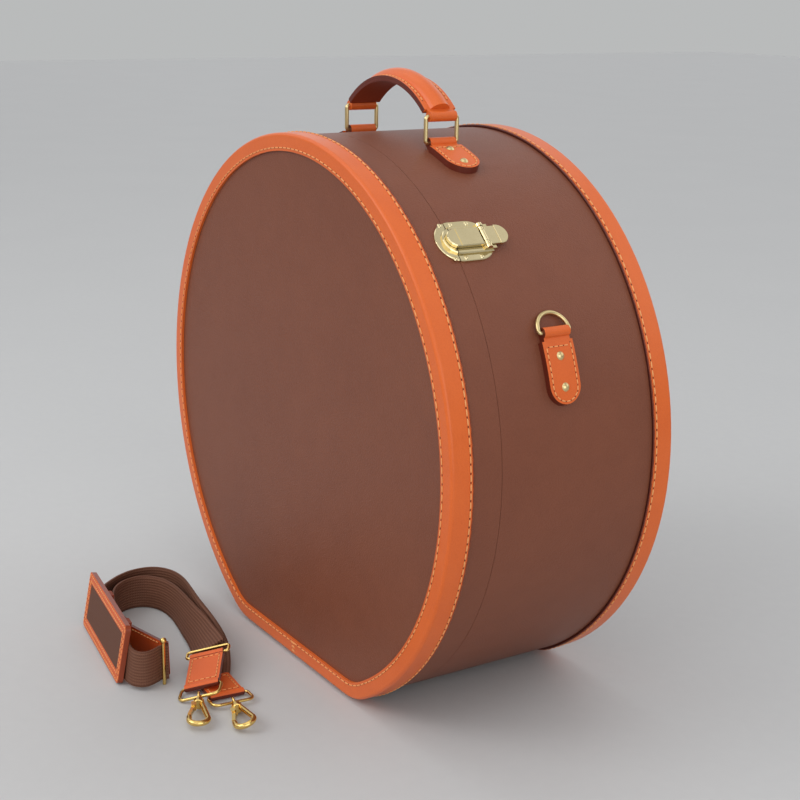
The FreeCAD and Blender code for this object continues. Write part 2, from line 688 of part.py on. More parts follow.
def make_latch():
    """Catch, base, pin, claw and lever, with the rivets of the lid half and of the case half."""
    catch = latch_plate(latch_y(0), seam_y - seam_gap)
    inner = claw_width / 2 - claw_skin
    post_front = claw_front + claw_skin + post_clearance
    post = box_between((-3, latch_y(post_front + 2.2), latch_z(step_top - 0.2)),
                       (3, latch_y(post_front + 4.2), latch_z(claw_top - claw_skin - post_clearance)))
    catch = catch.fuse(post).removeSplitter()

    base = latch_plate(seam_y + seam_gap, latch_y(case_depth))
    pin_y = latch_y(latch_pin_y)
    pin_z = latch_z(latch_pin_h)
    room = cylinder(knuckle_radius + 0.3, Vec(-ear_half_gap, pin_y, pin_z), X_AXIS, 2 * ear_half_gap)
    ears = []
    for side in (-1, 1):
        x0 = ear_half_gap if side > 0 else -ear_half_gap - ear_thick
        low = box_between((x0, pin_y - 3.4, latch_z(flange_top)), (x0 + ear_thick, pin_y + 3.4, pin_z))
        cap = cylinder(2.4, Vec(x0, pin_y, pin_z), X_AXIS, ear_thick)
        prong = box_between((x0, pin_y + 2.0, latch_z(step_top)),
                            (x0 + ear_thick, pin_y + 6.4, latch_z(step_top + 1.0)))
        ears.append(low.fuse(cap).fuse(prong))
    base = base.fuse(ears[0]).fuse(ears[1]).cut(room)
    pin_hole = cylinder(latch_pin_radius, Vec(-20, pin_y, pin_z), X_AXIS, 40)
    base = base.removeSplitter().cut(pin_hole)
    pin_half = ear_half_gap + ear_thick
    pin = cylinder(latch_pin_radius, Vec(-pin_half, pin_y, pin_z), X_AXIS, 2 * pin_half)
    running = cylinder(latch_pin_radius + pin_clearance, Vec(-20, pin_y, pin_z), X_AXIS, 40)

    claw = stadium(claw_width / 2, latch_y(claw_front), latch_y(claw_rear), latch_z(claw_bottom),
                   latch_z(claw_top), True, False)
    claw = soften_top(claw, latch_z(claw_top), 0.6)
    pocket = stadium(inner, latch_y(claw_front + claw_skin), latch_y(claw_rear + 1), latch_z(claw_bottom - 1),
                     latch_z(claw_top - claw_skin), True, False)
    claw = claw.cut(pocket)
    groove = box_between((-claw_width, latch_y(claw_groove_y) - 0.3, latch_z(claw_top - 0.3)),
                         (claw_width, latch_y(claw_groove_y) + 0.3, latch_z(claw_top + 1)))
    claw = claw.cut(groove)
    for side in (-1, 1):
        x0 = lever_knuckle_half + 0.2 if side > 0 else -claw_knuckle_half
        width = claw_knuckle_half - lever_knuckle_half - 0.2
        knuckle = cylinder(knuckle_radius, Vec(x0, pin_y, pin_z), X_AXIS, width)
        arm = box_between((x0, latch_y(claw_rear - 2.5), latch_z(claw_bottom)),
                          (x0 + width, pin_y, latch_z(claw_bottom + 1.2)))
        claw = claw.fuse(knuckle).fuse(arm)
    claw = claw.removeSplitter().cut(running)

    lever = cylinder(knuckle_radius, Vec(-lever_knuckle_half, pin_y, pin_z), X_AXIS, 2 * lever_knuckle_half)
    shank = box_between((-lever_knuckle_half, pin_y, latch_z(tongue_bottom)),
                        (lever_knuckle_half, pin_y + knuckle_radius + 1.2, latch_z(tongue_top)))
    plate_start = pin_y + knuckle_radius + 0.3
    plate = stadium(claw_width / 2, plate_start, latch_y(tongue_bend_y), latch_z(tongue_bottom),
                    latch_z(tongue_top), False, False)
    plate = soften_top(plate, latch_z(tongue_top), 0.3)
    lip = stadium(lip_radius, latch_y(tongue_bend_y) - 0.2, latch_y(tongue_bend_y) + lip_radius + 0.6,
                  latch_z(tongue_bottom), latch_z(tongue_top + 0.5), False, True)
    lip = soften_top(lip, latch_z(tongue_top + 0.5), 0.35)
    lever = lever.fuse(shank).fuse(plate).fuse(lip).removeSplitter().cut(running)

    side_x = (latch_width + step_width) / 4
    lid_rivets, case_rivets = [], []
    for side in (-1, 1):
        for distance, group_list in ((36.2, lid_rivets), (45.0, case_rivets), (58.0, case_rivets)):
            drop = case_radius - math.sqrt(case_radius ** 2 - side_x ** 2)
            head = Vec(side * side_x, latch_y(distance), latch_z(flange_top))
            group_list.append(dome_rivet(head, Z_AXIS, small_rivet_radius, small_rivet_dome, 0.7,
                                         flange_top + drop + cover_thick + 2.0))
    return catch, base, pin, claw, lever, lid_rivets, case_rivets


# ---------------------------------------------------------------- hinges under the base

def make_hinges():
    """Leaves on the lid and on the case, and the pins between their knuckles."""
    axis_z = base_z - hinge_axis_drop
    lid_leaves, case_leaves, pins, lid_rivets, case_rivets = [], [], [], [], []
    third = hinge_width / 3
    for middle in (-hinge_x, hinge_x):
        x0 = middle - hinge_width / 2
        spans = [(x0, x0 + third), (x0 + third, x0 + 2 * third), (x0 + 2 * third, x0 + hinge_width)]
        for owner in ("lid", "case"):
            sign = -1 if owner == "lid" else 1
            far = seam_y + sign * hinge_leaf
            near = seam_y + sign * (hinge_knuckle + hinge_joint_gap)
            low_y, high_y = min(far, near), max(far, near)
            leaf = box_between((x0, low_y, base_z - hinge_thick), (x0 + hinge_width, high_y, base_z))
            for index, (a, b) in enumerate(spans):
                if (index == 1) != (owner == "lid"):
                    continue
                a += hinge_joint_gap / 2
                b -= hinge_joint_gap / 2
                barrel = cylinder(hinge_knuckle, Vec(a, seam_y, axis_z), X_AXIS, b - a)
                reach_y = sorted((seam_y, near))
                bridge = box_between((a, reach_y[0], base_z - hinge_thick - 0.2), (b, reach_y[1], base_z - 0.15))
                leaf = leaf.fuse(barrel).fuse(bridge)
            bore = cylinder(hinge_pin_radius + pin_clearance, Vec(x0 - 1, seam_y, axis_z), X_AXIS,
                            hinge_width + 2)
            snug = cylinder(hinge_pin_radius, Vec(x0 - 1, seam_y, axis_z), X_AXIS, hinge_width + 2)
            leaf = leaf.removeSplitter().cut(bore if owner == "lid" else snug)
            rivets = lid_rivets if owner == "lid" else case_rivets
            for x in (middle - hinge_width * 0.36, middle, middle + hinge_width * 0.36):
                head = Vec(x, seam_y + sign * (hinge_leaf - 4.2), base_z - hinge_thick)
                rivets.append(dome_rivet(head, Vec(0, 0, -1), small_rivet_radius, small_rivet_dome, 0.7,
                                         hinge_thick + cover_thick + 2.0))
            (lid_leaves if owner == "lid" else case_leaves).append(leaf)
        pins.append(cylinder(hinge_pin_radius, Vec(x0, seam_y, axis_z), X_AXIS, hinge_width))
    return lid_leaves, case_leaves, pins, lid_rivets, case_rivets


# ---------------------------------------------------------------- shoulder strap

def placed(shape, origin, along, across):
    """Put a piece drawn with X along and Y across at origin."""
    x_dir = Vec(along).normalize()
    z_dir = x_dir.cross(across).normalize()
    y_dir = z_dir.cross(x_dir)
    matrix = FreeCAD.Matrix(x_dir.x, y_dir.x, z_dir.x, origin.x,
                            x_dir.y, y_dir.y, z_dir.y, origin.y,
                            x_dir.z, y_dir.z, z_dir.z, origin.z,
                            0, 0, 0, 1)
    copy = shape.copy()
    copy.Placement = FreeCAD.Placement(matrix).multiply(copy.Placement)
    return copy


def smooth_curve(poles):
    """Quadratic B-spline with the points as its poles, clamped at both ends."""
    count = len(poles)
    mults = [3] + [1] * (count - 3) + [3]
    knots = list(range(count - 1))
    curve = Part.BSplineCurve()
    curve.buildFromPolesMultsKnots(poles, mults, knots, False, 2)
    return curve


def band_edges(route):
    """Poles of the lower and the upper edge of a flat band. Each stop is x, y, z and a lean in degrees."""
    lows, highs = [], []
    for i, (x, y, z, lean) in enumerate(route):
        before = route[max(i - 1, 0)]
        after = route[min(i + 1, len(route) - 1)]
        travel = Vec(after[0] - before[0], after[1] - before[1], 0).normalize()
        side = Vec(-travel.y, travel.x, 0)
        angle = math.radians(lean)
        rise = Z_AXIS * math.cos(angle) + side * math.sin(angle)
        lows.append(Vec(x, y, z) - rise * (web_width / 2))
        highs.append(Vec(x, y, z) + rise * (web_width / 2))
    return lows, highs


def web_band(route, name):
    """Flat webbing along its route, as a chain of short straight-sided lengths."""
    lows, highs = band_edges(route)
    low_curve = smooth_curve(lows)
    high_curve = smooth_curve(highs)
    spans = web_spans_per_stop * (len(route) - 1)
    last = low_curve.LastParameter
    sections = []
    length = 0.0
    previous = None
    for step in range(spans + 1):
        u = last * step / spans
        low = low_curve.value(u)
        high = high_curve.value(u)
        middle = (low + high) * 0.5
        if previous is not None:
            length += middle.distanceToPoint(previous)
        previous = middle
        travel = low_curve.tangent(u)[0] + high_curve.tangent(u)[0]
        rise = (high - low).normalize()
        out = Vec(travel).cross(rise).normalize() * (web_thick / 2)
        half = rise * (web_width / 2)
        corners = [middle - half - out, middle + half - out, middle + half + out, middle - half + out]
        sections.append(Part.makePolygon(corners + [corners[0]]))
    print(f"{name} length {length:.1f}")
    return Part.makeLoft(sections, True, True)


def rounded_slab(length, height, thick, corner):
    """Plate in X and Z, from y = 0 to y = thick, with rounded corners."""
    plate = Part.makeBox(length, thick, height)
    uprights = [edge for edge in plate.Edges if edge.BoundBox.YLength > thick * 0.9
                and edge.BoundBox.XLength < 0.01 and edge.BoundBox.ZLength < 0.01]
    return plate.makeFillet(corner, uprights)


def make_pad():
    """Leather pad with a sunk webbing panel on its front and two keepers behind."""
    along = Vec(math.cos(math.radians(pad_turn)), math.sin(math.radians(pad_turn)), 0)
    back = Vec(-along.y, along.x, 0)
    body = rounded_slab(pad_length, pad_height, pad_thick, pad_corner)
    window = Part.makeBox(pad_length - 2 * pad_border, inset_depth, pad_height - 2 * pad_border,
                          Vec(pad_border, 0, pad_border))
    body = body.cut(window)
    gap = web_thick + 2 * keeper_gap
    reach = keeper_thick + gap
    keepers = []
    for x in keeper_places:
        outer = Part.makeBox(keeper_width, reach, pad_height - 4, Vec(x, pad_thick, 2))
        room_low = (pad_height - web_width) / 2 - keeper_gap + web_in_pad - pad_height / 2
        room = Part.makeBox(keeper_width, gap, web_width + 2 * keeper_gap, Vec(x, pad_thick, room_low))
        keepers.append(outer.cut(room))
    pieces = []
    for shape in (body, window, group(keepers)):
        copy = shape.copy()
        copy.rotate(Vec(0, 0, 0), X_AXIS, -pad_lean)
        pieces.append(placed(copy, Vec(*pad_corner_at), along, back))
    return pieces


def make_link():
    """Leather link from the inner webbing to the slider."""
    start = Vec(*link_start)
    end = Vec(*link_end)
    along = end - start
    length = along.Length
    plate = Part.makeBox(length - 2.6, link_thick, link_width, Vec(0, -link_thick / 2, -link_width / 2))
    bore_radius = slider_wire / 2 + link_bore_gap
    loop = cylinder(bore_radius + 1.0, Vec(length, 0, -link_width / 2), Z_AXIS, link_width)
    joint = Part.makeBox(3.0, link_thick, link_width, Vec(length - 3.0, -link_thick / 2, -link_width / 2))
    bore = cylinder(bore_radius, Vec(length, 0, -slider_height), Z_AXIS, 2 * slider_height)
    shape = plate.fuse(loop).fuse(joint).removeSplitter().cut(bore)
    return placed(shape, start, along, Vec(-along.y, along.x, 0))


def make_slider():
    """Upright slider: a rectangular loop of wire whose front bar is longer and has a round head."""
    rear = Vec(link_end[0], link_end[1], 0)
    front = Vec(*slider_front, 0)
    low = slider_foot
    high = slider_foot + slider_height - 5
    corners = [Vec(rear.x, rear.y, low), Vec(rear.x, rear.y, high), Vec(front.x, front.y, high),
               Vec(front.x, front.y, low)]
    loop = wire_loop(corners, slider_wire / 2 + 0.6, slider_wire)
    bar = cylinder(slider_bar_radius, front + Vec(0, 0, 0.4), Z_AXIS, slider_height - 2)
    head = Part.makeSphere(slider_head_radius, front + Vec(0, 0, slider_height - 1.5))
    return loop.fuse(bar).fuse(head).removeSplitter()


def oval_ring(wire, fall):
    """Oval ring with one long bar on the Y axis and the other beyond it along X, turned down by fall."""
    corners = [Vec(0, -oval_half_long, 0), Vec(2 * oval_half_short, -oval_half_long, 0),
               Vec(2 * oval_half_short, oval_half_long, 0), Vec(0, oval_half_long, 0)]
    ring = wire_loop(corners, oval_corner, wire)
    ring.rotate(Vec(0, 0, 0), Y_AXIS, fall)
    return ring


def square_ring():
    """Square ring behind the upper end of a tab, drawn with that end's bar at x = 0."""
    corners = [Vec(0, -square_half, 0), Vec(-square_depth, -square_half, 0),
               Vec(-square_depth, square_half, 0), Vec(0, square_half, 0)]
    return wire_loop(corners, square_corner, oval_wire)


def strap_tab(length, with_top_loop):
    """Leather tab drawn along X: x = 0 is its upper end, and the oval ring's bar is at x = length."""
    bore_radius = oval_wire / 2 + tab_bore_gap
    loop_out = bore_radius + tab_loop_wall
    slab = Part.makeBox(length, strap_tab_width, strap_tab_thick,
                        Vec(0, -strap_tab_width / 2, -strap_tab_thick / 2))
    ends = [length]
    if with_top_loop:
        ends.append(0)
    for x in ends:
        slab = slab.fuse(cylinder(loop_out, Vec(x, -strap_tab_width / 2, 0), Y_AXIS, strap_tab_width))
    slab = slab.removeSplitter()
    for x in ends:
        slab = slab.cut(cylinder(bore_radius, Vec(x, -strap_tab_width, 0), Y_AXIS, 2 * strap_tab_width))
    return slab


def snap_hook():
    """Swivel eye, hook body and gate, drawn along X from the middle of the ring's bar."""
    eye_ring = Part.makeTorus(eye_radius, eye_wire / 2, Vec(0, 0, 0), Y_AXIS)
    stem = cylinder(stem_radius, Vec(eye_radius, 0, 0), X_AXIS, barrel_start + stem_in_barrel - eye_radius)
    collar = cylinder(barrel_radius * 0.72, Vec(barrel_start - 1.9, 0, 0), X_AXIS, 1.7)
    eye = eye_ring.fuse(stem).fuse(collar).removeSplitter()

    barrel_end = barrel_start + barrel_length
    barrel = cylinder(barrel_radius, Vec(barrel_start, 0, 0), X_AXIS, barrel_length)
    barrel = barrel.makeFillet(1.0, [edge for edge in barrel.Edges if edge.BoundBox.XLength < 0.01])
    bow_x = hook_length - hook_bow_radius - hook_wire / 2
    neck_y = barrel_radius * 0.55
    angle = math.asin((hook_bow_radius - neck_y) / math.hypot(bow_x - barrel_end + 1, 0.01))
    side_start = Vec(barrel_end - 1.2, neck_y, 0)
    side_end = Vec(bow_x - hook_bow_radius * math.sin(angle), hook_bow_radius * math.cos(angle), 0)
    far = Vec(bow_x + hook_bow_radius, 0, 0)
    bow_end = Vec(bow_x, -hook_bow_radius, 0)
    nose = Vec(gate_end_x + 2.6, -hook_bow_radius, 0)
    edges = [
        Part.LineSegment(side_start, side_end).toShape(),
        Part.Arc(side_end, far, bow_end).toShape(),
        Part.LineSegment(bow_end, nose).toShape(),
    ]
    path = Part.Wire(edges)
    tangent = (side_end - side_start).normalize()
    section = Part.Wire([Part.makeCircle(hook_wire / 2, side_start, tangent)])
    bow = path.makePipeShell([section], True, False)
    tip = Part.makeSphere(hook_wire / 2, nose)
    ears = []
    for z in (gate_half + 0.12, -gate_half - 0.12 - ear_plate):
        plate = Part.makeBox(gate_pivot_x - barrel_end + 2.2, 3.6, ear_plate,
                             Vec(barrel_end - 1.2, gate_pivot_y - 1.8, z))
        ears.append(plate.fuse(cylinder(1.8, Vec(gate_pivot_x, gate_pivot_y, z), Z_AXIS, ear_plate)))
    pin = cylinder(gate_pin_radius, Vec(gate_pivot_x, gate_pivot_y, -gate_half - ear_plate), Z_AXIS,
                   2 * (gate_half + ear_plate))
    body = barrel.fuse(bow).fuse(tip).fuse(ears[0]).fuse(ears[1]).fuse(pin)
    bore = cylinder(stem_radius + pin_clearance, Vec(barrel_start - 1, 0, 0), X_AXIS,
                    1 + stem_in_barrel + 0.3)
    body = body.removeSplitter().cut(bore)

    root = cylinder(1.7, Vec(gate_pivot_x, gate_pivot_y, -gate_half), Z_AXIS, 2 * gate_half)
    run = Vec(gate_end_x - gate_pivot_x, -hook_bow_radius - gate_pivot_y, 0)
    bar = Part.makeBox(run.Length, 2.6, 2 * gate_half, Vec(0, -1.3, -gate_half))
    bar = placed(bar, Vec(gate_pivot_x, gate_pivot_y, 0), run, Vec(-run.y, run.x, 0))
    gate = root.fuse(bar).removeSplitter()
    gate = gate.cut(cylinder(gate_pin_radius + pin_clearance, Vec(gate_pivot_x, gate_pivot_y, -5), Z_AXIS, 10))
    return eye, body, gate


def make_strap():
    """All pieces of the strap where they lie."""
    pieces = {"strap_web_inner": web_band(inner_route, "strap_web_inner"),
              "strap_web_outer": web_band(outer_route, "strap_web_outer"),
              "strap_link": make_link(),
              "strap_slider": make_slider()}
    pad, inset, keepers = make_pad()
    pieces["strap_pad"] = pad
    pieces["strap_pad_inset"] = inset
    pieces["strap_pad_keepers"] = keepers
    starts = {}
    for name, top, run, across, ring_fall in (
            ("a", Vec(*tab_a_top), Vec(*tab_a_run), Vec(*tab_a_across), ring_a_fall),
            ("b", Vec(*tab_b_top), Vec(*tab_b_run), Vec(*tab_b_across), ring_b_fall)):
        tab = strap_tab(run.Length, name == "a")
        ring = oval_ring(oval_wire, ring_fall)
        room = oval_ring(oval_wire + 2 * ring_play, ring_fall)
        room.translate(Vec(run.Length, 0, 0))
        pieces["strap_tab_" + name] = placed(tab.cut(room), top, run, across)
        if name == "a":
            pieces["strap_square_ring"] = placed(square_ring(), top, run, across)
        pieces["strap_ring_" + name] = placed(ring, top + run, run, across)
        fall = math.radians(ring_fall)
        far_bar = Vec(math.cos(fall), 0, -math.sin(fall)) * (2 * oval_half_short)
        starts[name] = placed(Part.Vertex(far_bar), top + run, run, across).Point
    for name, along, across in (
            ("a", Vec(*hook_a_along), Vec(*hook_a_across)),
            ("b", Vec(*hook_b_along), Vec(*hook_b_across))):
        start = starts[name]
        print(f"hook_{name} eye at {start.x:.2f} {start.y:.2f} {start.z:.2f}")
        eye, body, gate = snap_hook()
        pieces["hook_eye_" + name] = placed(eye, start, along, across)
        pieces["snap_hook_" + name] = placed(body, start, along, across)
        pieces["hook_gate_" + name] = placed(gate, start, along, across)
    return pieces


nodes = {}


def main():
    os.makedirs("parts", exist_ok=True)
    pieces = make_shells()
    pieces["case_feet"] = make_feet()

    tab = make_handle_tab()
    dring_tab = make_dring_tab()
    pieces["handle_tab_right"] = tab
    pieces["handle_tab_left"] = mirrored(tab)
    pieces["dring_tab_right"] = dring_tab
    pieces["dring_tab_left"] = mirrored(dring_tab)
    tab_rivets = tab_fasteners(handle_line_y, handle_rivet_arcs)
    tab_rivets += tab_fasteners(dring_line_y, dring_rivet_arcs)
    tab_rivets += [mirrored(rivet) for rivet in tab_rivets]

    latch_angle = arc_angle(latch_arc)
    catch, base, pin, claw, lever, lid_small, case_small = make_latch()
    for side in ("right", "left"):
        for name, shape in (("latch_catch", catch), ("latch_base", base), ("latch_claw", claw),
                            ("latch_lever", lever)):
            placed = turned(shape, latch_angle)
            pieces[name + "_" + side] = placed if side == "right" else mirrored(placed)
    pins = [turned(pin, latch_angle)]
    pieces["latch_pins"] = group([pins[0], mirrored(pins[0])])
    lid_small = [turned(rivet, latch_angle) for rivet in lid_small]
    case_small = [turned(rivet, latch_angle) for rivet in case_small]
    lid_small += [mirrored(rivet) for rivet in lid_small]
    case_small += [mirrored(rivet) for rivet in case_small]

    lid_leaves, case_leaves, hinge_pins, lid_hinge_rivets, case_hinge_rivets = make_hinges()
    pieces["hinge_lid_leaves"] = group(lid_leaves)
    pieces["hinge_case_leaves"] = group(case_leaves)
    pieces["hinge_pins"] = group(hinge_pins)
    lid_small += lid_hinge_rivets
    case_small += case_hinge_rivets

    for rivets, holders in (
            (tab_rivets, ("handle_tab_right", "handle_tab_left", "dring_tab_right", "dring_tab_left",
                          "case_wall_cover", "case_wall", "case_lining_wall")),
            (lid_small, ("latch_catch_right", "latch_catch_left", "hinge_lid_leaves", "lid_wall_cover",
                         "lid_wall")),
            (case_small, ("latch_base_right", "latch_base_left", "hinge_case_leaves", "case_wall_cover",
                          "case_wall"))):
        tool = group(rivets)
        for holder in holders:
            pieces[holder] = pieces[holder].cut(tool)
    pieces["tab_rivets"] = group(tab_rivets)
    pieces["lid_small_rivets"] = group(lid_small)
    pieces["case_small_rivets"] = group(case_small)

    dring = make_dring()
    pieces["dring_right"] = dring
    pieces["dring_left"] = mirrored(dring)
    ring = make_handle_ring()
    pieces["handle_ring_right"] = ring
    pieces["handle_ring_left"] = mirrored(ring)
    leather, core, under = make_handle()
    pieces["handle_top_leather"] = leather
    pieces["handle_filler"] = core
    pieces["handle_under_leather"] = under
    pieces.update(make_strap())

    for node, shape in pieces.items():
        save(shape, node)


main()
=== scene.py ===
"""Looks of a round hat box with a flat base and a loose shoulder strap, built around its CAD frame."""

from __future__ import annotations

import json
import logging
import math
from dataclasses import dataclass, field
from enum import Enum
from typing import Iterable, Sequence

import bpy
from mathutils import Matrix, Vector
from mathutils.bvhtree import BVHTree

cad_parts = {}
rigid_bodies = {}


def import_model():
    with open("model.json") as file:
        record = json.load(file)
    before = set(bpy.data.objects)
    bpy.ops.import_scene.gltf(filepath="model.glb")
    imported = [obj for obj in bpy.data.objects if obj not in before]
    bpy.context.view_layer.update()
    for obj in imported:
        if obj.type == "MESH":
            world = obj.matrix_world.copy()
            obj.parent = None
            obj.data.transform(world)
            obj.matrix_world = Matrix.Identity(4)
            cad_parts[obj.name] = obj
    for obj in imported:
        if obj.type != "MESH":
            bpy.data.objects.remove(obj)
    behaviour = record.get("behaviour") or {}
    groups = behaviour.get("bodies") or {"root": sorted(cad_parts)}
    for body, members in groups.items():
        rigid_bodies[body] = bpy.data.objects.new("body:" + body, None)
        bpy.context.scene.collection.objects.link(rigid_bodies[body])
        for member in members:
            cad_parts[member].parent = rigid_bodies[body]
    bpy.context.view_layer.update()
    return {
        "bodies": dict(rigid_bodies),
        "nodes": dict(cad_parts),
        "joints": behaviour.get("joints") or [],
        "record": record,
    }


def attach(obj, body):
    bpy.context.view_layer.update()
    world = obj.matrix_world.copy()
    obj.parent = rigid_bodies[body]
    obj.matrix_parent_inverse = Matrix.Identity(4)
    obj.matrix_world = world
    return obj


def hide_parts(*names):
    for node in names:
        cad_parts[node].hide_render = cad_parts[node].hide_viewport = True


LOG = logging.getLogger("hat_box")
Point = tuple[float, float, float]

MM = 0.001
CASE_RADIUS = 0.215
CENTRE_Z = 0.198
CORNER_RADIUS = 0.0534
CORNER_X = 0.07965
BASE_Z = 0.004
FACE_Y = 0.095
TRIM_STITCH_Y = 0.0799
HANDLE_Y = -0.0015
DRING_Y = 0.0005
WEB_WIDTH = 0.029
WEB_THICK = 0.0018
LINK_OUT = (0.159, -0.987, 0.0)
STRAP_TAB_OUT = (0.33, 0.0, 0.94)

# Trims: how far in from the outline the rows on the faces lie, how far out those on the wall start,
# the painted edges' depth, and steps of the walk.
FACE_INSET = 0.0090
WALL_ROW_GROW = 0.003
TRIM_EDGE_Y = 0.0775
OUTLINE_STEP = 0.003
EDGE_STEP = 0.004

# Cut edges: how far a face turns aside, the handle's half width, and arcs along the wall from its top.
SIDE_TURN = 0.55
FLAT_TURN = 0.6
TIP_TURN = 0.5
HANDLE_SKIN_HALF = 0.0125
HANDLE_TAB_ARC = 0.068
DRING_LOOP_START = 0.2
DRING_LOOP_END = 0.250

# Finding the surface under a stitch: where the search starts and how far it goes.
PROBE_RISE = 0.012
PROBE_REACH = 0.03
# Needle holes: dark beads of painted shade, how far they sit above the leather and half their depth.
HOLE_SHADE_LIFT = 0.00002
HOLE_SHADE_HALF_DEPTH = 0.00010

# Light: height and brightness of the sky's stops, its tint, and what the camera sees behind the floor.
SKY_STOPS = ((0.0, 0.30), (0.18, 0.80), (0.42, 1.10))
SKY_TINT = (0.97, 0.99, 1.02)
SKY_STRENGTH = 0.84
SKY_SEEN = (0.58, 0.59, 0.59, 1)
LAMP_AIM = (0, 0, 0.2)
FLOOR_HALF = 9
CAMERA_PLACE = (0.9689, -0.61525, 0.5195)
CAMERA_LENS = 67.15

# Stops of the two webbing lengths: x, y, z of the middle in millimetres,
# and the lean from upright in degrees.
WEB_INNER = (
    (-15.6, -162.0, 17.4, -62), (-28, -158.5, 15.6, -48), (-42, -155.6, 15.0, -36), (-58, -152.4, 14.9, -28),
    (-76, -150.5, 14.9, -21), (-97, -147.5, 14.9, -15), (-119, -145.2, 14.9, -10), (-138, -146.8, 14.9, -6),
    (-151, -154, 14.9, -2), (-156, -165, 14.9, 2), (-152, -180, 14.9, 4), (-138, -193, 14.9, 4),
    (-115, -201, 14.9, 3), (-92, -205, 14.9, 0), (-74, -205.2, 14.9, 0),
)
WEB_OUTER = (
    (0.6, -167.6, 3.0, -89), (-9, -161.5, 4.2, -78), (-24, -154.0, 8.6, -61), (-40, -149.8, 11.6, -42),
    (-60, -146.5, 14.6, -28), (-84, -142.6, 16.4, -15), (-108, -137, 17.0, -8), (-132, -132.5, 17.0, -4),
    (-152, -134.5, 17.0, 0), (-165, -145, 17.0, 3), (-168, -162, 17.2, 8), (-161.5, -179, 17.6, 10),
    (-150.5, -193.5, 18.0, 11), (-140.0, -205.0, 18.0, 10.8), (-127.0, -210.85, 18.0, 10.5),
    (-110.0, -213.4, 18.0, 10.5), (-90.0, -216.4, 18.0, 10.5), (-70.0, -219.38, 18.0, 10.5),
    (-50.0, -222.4, 18.0, 10.5), (-32.0, -225.07, 18.0, 10.5), (-12.5, -227.4, 17.8, 6),
    (-4.6, -220.5, 17.6, 2), (-6.6, -211.0, 17.6, 0), (-12.1, -203.0, 17.6, 0), (-9.0, -198.4, 17.6, 0),
)


class EdgeRule(Enum):
    """Which faces of a leather piece are its cut edges."""

    NONE = "none"
    SIDE = "side"
    ARC_TIP = "arc_tip"
    FLAT = "flat"


class Loop(Enum):
    """Whether a row of stitches closes on itself."""

    OPEN = "open"
    CLOSED = "closed"


@dataclass(frozen=True)
class Rgb:
    """A colour given as it looks on a screen."""

    red: int
    green: int
    blue: int

    def linear(self) -> tuple[float, float, float, float]:
        """Returns the colour as linear values.

        Returns:
            Red, green, blue and full opacity.
        """
        def convert(value: int) -> float:
            share = value / 255
            return share / 12.92 if share <= 0.04045 else ((share + 0.055) / 1.055) ** 2.4

        return (convert(self.red), convert(self.green), convert(self.blue), 1.0)


